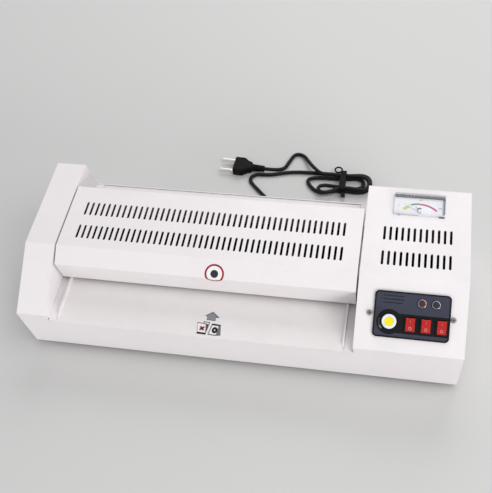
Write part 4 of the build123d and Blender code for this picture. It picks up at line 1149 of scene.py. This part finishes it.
@dataclass
class Casework:
    """The folded sheets, the works inside and the fasteners: solids that stay, with their finishes."""

    finishes: tuple[tuple[Finish, tuple[str, ...]], ...] = (
        (CASE_PAINT, ("base_pan", "left_end_cover", "right_housing", "top_cover")),
        (TRAY_PAINT, ("feed_tray", "exit_tray")),
        (ZINC, ("left_side_plate", "right_side_plate", "motor_bracket", "gear_motor")),
        (ZINC, ("potentiometer", "thermostats")),
        (TURNED_STEEL, ("tie_rods", "hinge_pins", "pressure_springs", "knob_shaft")),
        (SCREW_STEEL, ("case_screws",)),
        (DARK_ALUMINIUM, ("upper_heater_shoe", "lower_heater_shoe")),
        (ACETAL, ("idler_gear", "motor_pinion")),
        (BLACK_RUBBER, ("feet",)),
        (STEATITE, ("heater_insulators",)),
        (BUSH_PLASTIC, ("roller_bushes",)),
        (BOARD_GREEN, ("control_board",)),
    )
    rollers: tuple[str, ...] = ("front_lower", "front_upper", "rear_lower", "rear_upper")

    def dress(self, nodes: dict[str, bpy.types.Object], paints: Paints) -> None:
        """Give each solid its finish.

        Args:
            nodes: The solids by name.
            paints: The materials.
        """
        finishes = {name: finish for finish, names in self.finishes for name in names}
        for roller in self.rollers:
            finishes[f"{roller}_shaft"] = TURNED_STEEL
            finishes[f"{roller}_sleeve"] = SILICONE
            finishes[f"{roller}_gear"] = ACETAL
        for name, finish in finishes.items():
            dress_node(nodes[name], paints.get(finish))
        LOG.info("dressed %d solids of the casework", len(finishes))


def dress_node(node: bpy.types.Object, material: bpy.types.Material) -> None:
    """Put a material into every slot of a solid.

    Args:
        node: The solid.
        material: Its material.
    """
    if not node.material_slots:
        node.data.materials.append(material)
    for slot in node.material_slots:
        slot.material = material


@dataclass
class Controls:
    """The control panel: its print, the marks on the rockers, painted shade in the screws' cross recesses,
    the lamps and the knob.

    Sizes are millimetres on the slope, from its front crease and the panel's middle line. The foil has its
    left and right side, foot and head; a heat mark its two angles and ink; a stripe its two ends and its
    distance up the slope; the bar and the recess their width, length and corner radius.
    """

    plate_top: float = 1.4
    print_height: float = 0.06
    foil: tuple[float, float, float, float] = (-38.7, 38.7, 16.8, 63.5)
    foil_corner: float = 3.0
    switch_row: float = 31.2
    first_switch: float = -1.1
    switch_pitch: float = 16.5
    knob_at: tuple[float, float] = (-23.5, 32.1)
    knob_field: float = 13.4
    knob_field_steps: int = 48
    band: tuple[float, float] = (20.6, 41.4)
    heat_scale: tuple[float, float] = (9.8, 11.6)
    heat_marks: tuple[tuple[float, float, Finish], ...] = (
        (160, 205, OLIVE_INK),
        (205, 226, PALE_GREEN_INK),
    )
    stripe_width: float = 1.0
    stripe_corner: float = 0.45
    stripes: tuple[Point, ...] = ((-31.5, -9.5, 60.0), (-31.5, -9.0, 56.2), (-31.5, -10.5, 52.4))
    bar_size: tuple[float, float, float] = (0.7, 2.6, 0.3)
    bar_up: float = 3.9
    ring_radii: tuple[float, float] = (1.15, 1.6)
    ring_up: float = -3.7
    paddle_half: float = 7.2
    paddle_rise: float = 5.2
    paddle_dip: float = 1.2
    paddle_pivot: float = 0.4
    paddle_tilt: float = 10.0
    rockers: tuple[str, ...] = ("power_rocker", "heat_rocker", "direction_rocker")
    screws: tuple[float, ...] = (-44.6, 43.6)
    screw_row: float = 40.0
    recess_floor: float = 1.32
    recess_size: tuple[float, float, float] = (3.3, 0.62, 0.1)

    def print_on(
        self, name: str, outline: np.ndarray, finish: Finish, paints: Paints, lift: float = 0.0
    ) -> None:
        """Lay one patch of print on the panel.

        Args:
            name: The piece's name.
            outline: Rows of right and up on the slope.
            finish: The ink.
            paints: The materials.
            lift: How much higher than the first layer it lies.
        """
        low = self.plate_top + lift
        form = prism(outline, low, low + self.print_height)
        make_piece(name, form, CONTROL_SLOPE, paints.get(finish), "case")

    def foil_outline(self) -> np.ndarray:
        """Draw the slate foil: a rounded rectangle that leaves the knob's disc and the rockers' band black.

        The disc is a circle about the knob. The outline follows it from where the band's lower edge meets it
        to where the upper edge does.

        Returns:
            Rows of right and up on the slope.
        """
        left, right, foot, head = self.foil
        middle = np.array([(left + right) / 2, (foot + head) / 2])
        frame = rounded_outline(right - left, head - foot, self.foil_corner) + middle
        low, high = (math.asin((edge - self.knob_at[1]) / self.knob_field) for edge in self.band)
        turn = np.linspace(low, high - 2 * math.pi, self.knob_field_steps)
        disc = np.array(self.knob_at) + self.knob_field * np.column_stack([np.cos(turn), np.sin(turn)])
        return np.vstack([frame, [(right, self.band[0])], disc, [(right, self.band[1])]])

    def print_panel(self, paints: Paints) -> None:
        """Lay the slate foil, the scale beside the knob and the stripes.

        Args:
            paints: The materials.
        """
        self.print_on("panel_foil", self.foil_outline(), SLATE_INK, paints)
        knob = np.array(self.knob_at)
        lift = 2 * self.print_height
        for index, (start, end, ink) in enumerate(self.heat_marks):
            arc = band_outline(*self.heat_scale, start, end) + knob
            self.print_on(f"heat_scale_{index}", arc, ink, paints, lift)
        for index, (start, end, up) in enumerate(self.stripes):
            flat = rounded_outline(end - start, self.stripe_width, self.stripe_corner)
            stripe = flat + np.array([(start + end) / 2, up])
            self.print_on(f"panel_stripe_{index}", stripe, STRIPE_INK, paints)

    def mark_rockers(self, paints: Paints) -> None:
        """Print a bar and a ring on each rocker, on its two leaning faces.

        Args:
            paints: The materials.
        """
        lean = math.degrees(math.atan2(self.paddle_dip, self.paddle_half))
        for index, body in enumerate(self.rockers):
            across = self.first_switch + self.switch_pitch * index
            paddle = CONTROL_SLOPE.moved(across, self.switch_row, self.paddle_pivot).tilted(self.paddle_tilt)
            valley = paddle.moved(0.0, 0.0, self.paddle_rise - self.paddle_dip)
            upper, lower = valley.tilted(lean), valley.tilted(-lean)
            flat = rounded_outline(*self.bar_size) + np.array([0.0, self.bar_up])
            bar = prism(flat, 0.0, self.print_height)
            make_piece(f"{body}_bar", bar, upper, paints.get(ROSE_INK), body)
            ring, faces = ring_form(*self.ring_radii, 0.0, self.print_height, steps=32)
            ring = ring + np.array([0.0, self.ring_up, 0.0])
            make_piece(f"{body}_ring", (ring, faces), lower, paints.get(PINK_INK), body)

    def paint_screw_recess_shade(self, paints: Paints) -> None:
        """Paint shade on the floor of the cross recess in the two screw heads beside the panel: dark strokes
        stand in for the shade there.

        Args:
            paints: The materials.
        """
        for side, across in enumerate(self.screws):
            head = CONTROL_SLOPE.moved(across, self.screw_row, self.recess_floor)
            for index, angle in enumerate((0.0, 90.0)):
                # The dark strokes are painted shade at the bottom of the recess.
                name = f"screw_{side}_cut_{index}"
                stroke = prism(rounded_outline(*self.recess_size), 0.0, self.print_height)
                make_piece(name, stroke, head.spun(angle), paints.get(DARK_INK), "case")

    def build(self, nodes: dict[str, bpy.types.Object], paints: Paints) -> None:
        """Dress the panel's solids and add its print.

        Args:
            nodes: The solids by name.
            paints: The materials.
        """
        for name, finish in (
            ("control_panel", PANEL_BLACK),
            ("switch_bodies", BLACK_PLASTIC),
            *((rocker, ROCKER_RED) for rocker in self.rockers),
            ("lamp_bezels", CHROME),
            ("heating_lamp_lens", RED_LENS),
            ("ready_lamp_lens", DARK_LENS),
            ("temperature_knob", KNOB_WHITE),
            ("knob_cap", CAP_YELLOW),
        ):
            dress_node(nodes[name], paints.get(finish))
        self.print_panel(paints)
        self.mark_rockers(paints)
        self.paint_screw_recess_shade(paints)
        LOG.info("controls are finished")


@dataclass
class Thermometer:
    """The temperature meter: dial print, needle, clear cover, painted highlight and shade strips at its back
    and two clips.

    Sizes are millimetres: front from the case's front edge, and the others from the meter's own front edge
    and its middle line. A strip has its two edges and its finish; a clip its middle, width and finish; an arc
    its name, two radii, two angles and ink; a figure its name, text, height and place.
    """

    front: float = 155.2
    scale_middle: float = -10.2
    dial_top: float = 2.8
    cover_inside: float = 4.75
    print_height: float = 0.05
    half_inside: float = 28.4
    corner: float = 0.3
    inside_depth: float = 23.0
    inside_middle: float = 13.0
    # The front strip is painted shade and the rear strip a painted highlight: the light and shade of the bar
    # at the meter's back, drawn as two colours.
    strips: tuple[tuple[float, float, Finish], ...] = (
        (24.1, 27.1, PAINTED_SHADE_PLASTIC),
        (27.1, 29.7, PAINTED_LIGHT_PLASTIC),
    )
    strip_foot: float = 0.1
    # A thin dark line of painted shade inside the cover's right wall.
    shade_line_width: float = 0.5
    shade_line_corner: float = 0.2
    shade_line_inset: float = 0.2
    # The two clips are alike: the pale colour on the left one and the dark colour on the right one paint
    # light and shade on them.
    clips: tuple[tuple[float, float, Finish], ...] = (
        (-22.4, 2.6, PAINTED_LIGHT_PLASTIC),
        (25.2, 6.4, PAINTED_SHADE_PLASTIC),
    )
    clip_up: float = -0.4
    clip_depth: float = 0.9
    clip_height: float = 0.7
    arcs: tuple[tuple[str, tuple[float, ...], Finish], ...] = (
        ("dial_lime", (22.1, 26.2, 121, 138), LIME_INK),
        ("dial_grey", (25.4, 26.4, 112, 120), DIAL_GREY_INK),
        ("dial_green", (24.3, 26.9, 91, 112), DIAL_GREEN_INK),
        ("dial_red", (24.1, 26.6, 41, 91), DIAL_RED_INK),
    )
    shade_width: float = 2.6
    shade_inset: float = 1.5
    degree_radii: tuple[float, float] = (0.5, 0.9)
    degree_at: tuple[float, float] = (-3.6, 9.6)
    unit_span: tuple[float, ...] = (2.6, 4.3, 48, 312)
    unit_narrowing: float = 0.71
    unit_at: tuple[float, float] = (0.3, 5.8)
    figures: tuple[tuple[str, str, float, float, float], ...] = (
        ("dial_low", "0", 2.8, -23.4, 11.3),
        ("dial_middle", "100", 2.6, 0.6, 21.4),
        ("dial_high", "200", 2.4, 23.0, 10.9),
    )
    figure_weight: float = 0.02

    def bar(self, middle: float, up: float, width: float, depth: float, corner: float) -> np.ndarray:
        """Draw a rounded bar with its middle at a place on the meter."""
        return rounded_outline(width, depth, corner) + np.array([middle, up])

    def trim(self, paints: Paints) -> None:
        """Add painted highlight and shade strips behind the cover's back edge, a painted shade line inside
        its right wall and the clips.

        Args:
            paints: The materials.
        """
        low, high = self.dial_top + self.strip_foot, self.cover_inside
        roof = CONTROL_ROOF.moved(0.0, self.front, 0.0)
        parts = []
        # Each strip is painted shade or painted highlight, not a separate part.
        for index, (first, last, finish) in enumerate(self.strips):
            outline = self.bar(0.0, (first + last) / 2, 2 * self.half_inside, last - first, self.corner)
            parts.append((f"meter_painted_light_strip_{index}", prism(outline, low, high), finish))
        # Painted shade: a thin dark strip inside the cover's right wall.
        side = self.half_inside - self.shade_line_inset
        outline = self.bar(side, self.inside_middle, self.shade_line_width, self.inside_depth, self.shade_line_corner)
        parts.append(("meter_painted_shade_line", prism(outline, low, high), PAINTED_SHADE_PLASTIC))
        # Each clip's colour is painted light: the left is lit and the right is shaded.
        for index, (middle, width, finish) in enumerate(self.clips):
            outline = self.bar(middle, self.clip_up, width, self.clip_depth, self.corner)
            parts.append((f"meter_clip_{index}", prism(outline, 0.0, self.clip_height), finish))
        for name, form, finish in parts:
            make_piece(name, form, roof, paints.get(finish), "case")

    def print_dial(self, paints: Paints) -> None:
        """Print the coloured arcs, a painted shade by the right wall, the unit sign and the figures.

        Args:
            paints: The materials.
        """
        dial = CONTROL_ROOF.moved(0.0, self.front, self.dial_top)
        centre = CONTROL_ROOF.moved(0.0, self.front + self.scale_middle, self.dial_top)
        prints = []
        for name, span, ink in self.arcs:
            prints.append((name, prism(band_outline(*span), 0.0, self.print_height), centre, ink))
        # Painted shade on the dial's right margin, beside the cover's wall.
        side = self.half_inside - self.shade_inset
        shade = self.bar(side, self.inside_middle, self.shade_width, self.inside_depth, self.corner)
        prints.append(("dial_painted_shade_patch", prism(shade, 0.0, self.print_height), dial, DIAL_PAINTED_SHADE))
        degree = ring_form(*self.degree_radii, 0.0, self.print_height, steps=24)
        prints.append(("dial_degree", degree, dial.moved(*self.degree_at, 0.0), DIAL_FIGURE_INK))
        sign = band_outline(*self.unit_span) * np.array([self.unit_narrowing, 1.0])
        unit = prism(sign, 0.0, self.print_height)
        prints.append(("dial_unit", unit, dial.moved(*self.unit_at, 0.0), DARK_INK))
        for name, text, height, right, up in self.figures:
            form = lettering(text, height, self.print_height, self.figure_weight)
            prints.append((name, form, dial.moved(right, up, 0.0), DIAL_FIGURE_INK))
        for name, form, place, ink in prints:
            make_piece(name, form, place, paints.get(ink), "case")

    def build(self, nodes: dict[str, bpy.types.Object], paints: Paints) -> None:
        """Dress the meter's solids and add its trim and its print.

        Args:
            nodes: The solids by name.
            paints: The materials.
        """
        dress_node(nodes["meter_base"], paints.get(KNOB_WHITE))
        dress_node(nodes["meter_dial"], paints.get(DIAL_CARD))
        dress_node(nodes["meter_needle"], paints.get(NEEDLE_GREY))
        dress_node(nodes["meter_cover"], paints.get(METER_CLEAR))
        self.trim(paints)
        self.print_dial(paints)
        LOG.info("meter is finished")


@dataclass
class Signs:
    """The round sticker on the hinged cover and the feeding marks on the table.

    Sizes are millimetres, from the middle of the case and the cover's crease or the table's front edge. A
    patch has its name, its layer above the table, its ink and its corners.
    """

    sticker_at: tuple[float, float] = (-25.9, 5.5)
    sticker_radius: float = 11.1
    sticker_sheet: float = 0.12
    sticker_print: tuple[float, float] = (0.14, 0.2)
    ring_insets: tuple[float, float] = (2.2, 0.1)
    spot_radius: float = 4.4
    lift: float = 0.02
    layer: float = 0.05
    cross_at: tuple[float, float] = (-35.9, 11.4)
    cross_level: int = 5
    cross_angles: tuple[float, float] = (45.0, -45.0)
    cross_stroke: tuple[float, float, float] = (6.6, 2.2, 0.3)
    feed_ring_at: tuple[float, float] = (-21.2, 10.6)
    feed_ring_level: int = 3
    feed_ring_radii: tuple[float, float] = (0.8, 3.3)
    feed_ring_stretch: float = 1.26
    patches: tuple[tuple[str, int, Finish, tuple[tuple[float, float], ...]], ...] = (
        ("arrow_edge", 0, EDGE_INK, (
            (-35.9, 28.5), (-32.9, 27.7), (-33.1, 23.3), (-22.8, 22.4),
            (-23.0, 27.0), (-18.4, 27.5), (-27.6, 34.9),
        )),
        ("arrow_face", 1, GREY_INK, (
            (-33.6, 28.6), (-32.2, 28.2), (-32.4, 24.2), (-23.6, 23.4),
            (-23.8, 28.0), (-22.2, 28.2), (-27.6, 33.0),
        )),
        ("behind_edge", 0, EDGE_INK, ((-31.5, 6.2), (-30.2, 6.3), (-28.2, 20.6), (-36.0, 21.2))),
        ("behind_face", 1, WHITE_INK, ((-32.8, 18.0), (-29.6, 17.4), (-29.3, 19.2), (-35.0, 20.0))),
        ("behind_fold", 2, FOLD_INK, ((-30.7, 6.6), (-30.3, 10.4), (-29.4, 17.4), (-32.9, 18.3))),
        ("cross_edge", 3, EDGE_INK, ((-40.5, 4.3), (-30.2, 4.4), (-32.3, 18.4), (-42.6, 18.9))),
        ("cross_face", 4, WHITE_INK, ((-40.1, 5.1), (-31.0, 5.2), (-32.8, 17.2), (-42.0, 17.6))),
        ("cross_bar", 5, BLACK_INK, ((-40.6, 4.0), (-30.4, 3.6), (-30.6, 6.0), (-40.7, 6.4))),
        ("ring_fold", 0, EDGE_INK, ((-18.2, 3.6), (-13.6, 4.5), (-15.5, 17.5), (-17.2, 17.6))),
        ("ring_edge", 1, EDGE_INK, ((-28.3, 3.9), (-18.0, 3.3), (-17.1, 17.6), (-25.7, 18.9))),
        ("ring_face", 2, WHITE_INK, ((-27.1, 5.2), (-18.9, 4.8), (-17.7, 16.5), (-24.9, 16.8))),
        ("ring_bar", 3, BLACK_INK, ((-25.6, 16.9), (-15.7, 16.3), (-15.6, 18.3), (-25.4, 19.0))),
    )

    def sticker(self, paints: Paints) -> None:
        """Stick a plain round sign over the cover's crease: a white disc with a red ring and a dark spot.

        Args:
            paints: The materials.
        """
        shift = np.array([*self.sticker_at, 0.0])
        inner, outer = (self.sticker_radius - inset for inset in self.ring_insets)
        for name, flat, ink in (
            ("round_sticker", disc_form(self.sticker_radius, 0.0, self.sticker_sheet), WHITE_INK),
            ("sticker_ring", ring_form(inner, outer, *self.sticker_print, steps=64, bands=8), CRIMSON_INK),
            ("sticker_spot", disc_form(self.spot_radius, *self.sticker_print), DARK_INK),
        ):
            form = folded((flat[0] + shift, flat[1]), self.lift, FOLD_RADIUS, LIP_TURN)
            make_piece(name, form, COVER_SLOPE, paints.get(ink), "top_cover")

    def feeding_marks(self, paints: Paints) -> None:
        """Print the arrow that points to the rollers and two sheets, one with a cross and one with a ring.

        Args:
            paints: The materials.
        """
        marks = []
        for name, level, ink, corners in self.patches:
            low = self.lift + self.layer * level
            marks.append((name, prism(np.array(corners), low, low + self.layer), TABLE, ink))
        middle = TABLE.moved(*self.cross_at, self.lift + self.cross_level * self.layer)
        stroke = prism(rounded_outline(*self.cross_stroke), 0.0, self.layer)
        for index, angle in enumerate(self.cross_angles):
            marks.append((f"cross_{index}", stroke, middle.spun(angle), CRIMSON_INK))
        points, faces = ring_form(*self.feed_ring_radii, 0.0, self.layer)
        ring = (points * np.array([1.0, self.feed_ring_stretch, 1.0]), faces)
        middle = TABLE.moved(*self.feed_ring_at, self.lift + self.feed_ring_level * self.layer)
        marks.append(("feed_ring", ring, middle, BLACK_INK))
        for name, form, place, ink in marks:
            make_piece(name, form, place, paints.get(ink), "case")

    def build(self, paints: Paints) -> None:
        """Add every sign."""
        self.sticker(paints)
        self.feeding_marks(paints)


@dataclass
class MainsCord:
    """The mains cord: one line from the outlet through the tied hank to the plug.

    The lead runs from the outlet to the hank, and the tail from the plug to the hank. The hank's sizes are
    metres from its middle, and its layers are their heights above the floor.
    """

    diameter: float = 0.005
    length: float = 0.97
    steps: int = 10
    round_steps: int = 5
    smoothness: int = 3
    lead: tuple[Point, ...] = (
        (0.1750, 0.12896, 0.02664),
        (0.1750, 0.14240, 0.02500),
        (0.1680, 0.15550, 0.01550),
        (0.1520, 0.16200, 0.00600),
        (0.1290, 0.15950, 0.00270),
        (0.1000, 0.15100, 0.00260),
        (0.0620, 0.14650, 0.00265),
        (0.0300, 0.14600, 0.00260),
        (0.0050, 0.15300, 0.00265),
        (-0.0115, 0.16900, 0.00260),
        (-0.0260, 0.18400, 0.00265),
        (-0.0350, 0.19400, 0.00260),
        (-0.0346, 0.20270, 0.00265),
        (-0.0280, 0.20790, 0.00260),
        (-0.0180, 0.20810, 0.00265),
        (-0.0040, 0.20950, 0.00260),
        (0.0120, 0.21500, 0.00265),
        (0.0300, 0.21790, 0.00260),
        (0.0580, 0.21760, 0.00330),
        (0.0720, 0.21760, 0.00330),
    )
    tail: tuple[Point, ...] = (
        (-0.0184, 0.21600, 0.00620),
        (-0.0094, 0.21553, 0.00620),
        (0.0005, 0.21880, 0.00320),
        (0.0095, 0.22230, 0.00270),
        (0.0145, 0.23700, 0.00265),
        (0.0200, 0.25180, 0.00265),
        (0.0325, 0.25080, 0.00270),
        (0.0420, 0.23450, 0.00640),
        (0.0505, 0.22100, 0.01040),
        (0.0610, 0.21200, 0.00900),
        (0.0720, 0.21200, 0.00900),
    )
    middle: tuple[float, float] = (0.089, 0.202)
    turns: int = 2
    layers: tuple[float, float] = (0.0033, 0.0090)
    mouth: float = -0.017
    lead_in: float = 0.0095
    loop: tuple[tuple[float, float], ...] = ((-0.028, -0.0225), (-0.0465, -0.0025), (-0.041, 0.0074))
    right: float = 0.0405
    end_step: float = 0.0095
    top: float = 0.0156
    step: float = 0.0065
    tie_at: float = 0.003
    flare: tuple[float, float] = (0.0034, 0.0024)
    waist: float = 0.0134
    waist_foot: tuple[float, float] = (-0.003, -0.0126)
    waist_step: float = 0.0058
    foot_drop: float = 0.001
    fold: Point = (-0.027, -0.0223, 0.012)
    fold_slack: float = 0.002
    return_foot: float = -0.0106
    return_top: float = 0.010
    return_gap: float = 0.0015
    return_pinch: float = 0.0006

    def hank(self) -> list[Point]:
        """List the hank's corners: it winds in below, folds back at the foot and leaves on the top layer.

        Returns:
            The corners in the frame's metres.
        """
        low, high = self.layers
        points = [(self.mouth, self.top, low), (self.mouth + self.lead_in, self.top, low)]
        foot = 0.0
        for turn in range(self.turns):
            top = self.top - self.step * turn
            foot = -self.top + self.step * turn - self.foot_drop
            right = self.right - self.end_step * turn
            points.append((self.tie_at, self.waist - self.waist_step * turn, low))
            points += [(right, top + self.flare[turn], low), (right, foot, low)]
            points.append((self.waist_foot[0], self.waist_foot[1] + self.waist_step * turn, low))
            if turn < self.turns - 1:
                points += [(u, v, low) for u, v in self.loop]
        fold_at, fold_foot, fold_run = self.fold
        slack, head, edge = self.fold_slack, self.return_top, self.right - self.return_gap
        points += [(fold_at, foot, high), (fold_at - slack, fold_foot, high)]
        points += [(fold_at + fold_run, fold_foot - slack, high), (self.tie_at, self.return_foot, high)]
        points += [(edge, -self.top - self.return_gap, high), (edge, head, high)]
        points += [(self.tie_at, head - self.return_pinch, high)]
        points += [(self.mouth + self.lead_in, head, high), (self.mouth, head, high)]
        return [(self.middle[0] + u, self.middle[1] + v, z) for u, v, z in points]

    def route(self) -> list[Point]:
        """Join the lead, the hank from its lower end, and the tail as far as the plug."""
        return [*self.lead, *self.hank()[1:], *self.tail[::-1][1:]]

    def build(self, nodes: dict[str, bpy.types.Object], paints: Paints) -> None:
        """Lay the cord and dress its outlet, tie and plug.

        Args:
            nodes: The solids by name.
            paints: The materials.
        """
        points = self.route()
        curve = bpy.data.curves.new("mains_cord", "CURVE")
        curve.dimensions = "3D"
        curve.resolution_u = self.steps
        curve.bevel_depth = self.diameter / 2
        curve.bevel_resolution = self.round_steps
        curve.use_fill_caps = True
        spline = curve.splines.new("NURBS")
        spline.points.add(len(points) - 1)
        for target, point in zip(spline.points, points):
            target.co = (*point, 1.0)
        spline.order_u = self.smoothness
        spline.use_endpoint_u = True
        curve.materials.append(paints.get(CORD_SHEATH))
        cord = bpy.data.objects.new("mains_cord", curve)
        bpy.context.scene.collection.objects.link(cord)
        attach(cord, "case")
        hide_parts("cord_lead", "cord_hank", "cord_tail")
        for name in ("cord_gland", "plug_body", "cord_tie"):
            dress_node(nodes[name], paints.get(BLACK_RUBBER))
        dress_node(nodes["plug_pins"], paints.get(NICKEL))
        LOG.info("cord has %d points", len(points))


def main() -> None:
    """Build the looks in order."""
    logging.basicConfig(level=logging.INFO, format="%(name)s: %(message)s")
    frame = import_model()
    nodes = frame["nodes"]
    paints = Paints()
    Studio().build()
    MainsCord().build(nodes, paints)
    Casework().dress(nodes, paints)
    Controls().build(nodes, paints)
    Thermometer().build(nodes, paints)
    Signs().build(paints)


if __name__ == "__main__":
    main()
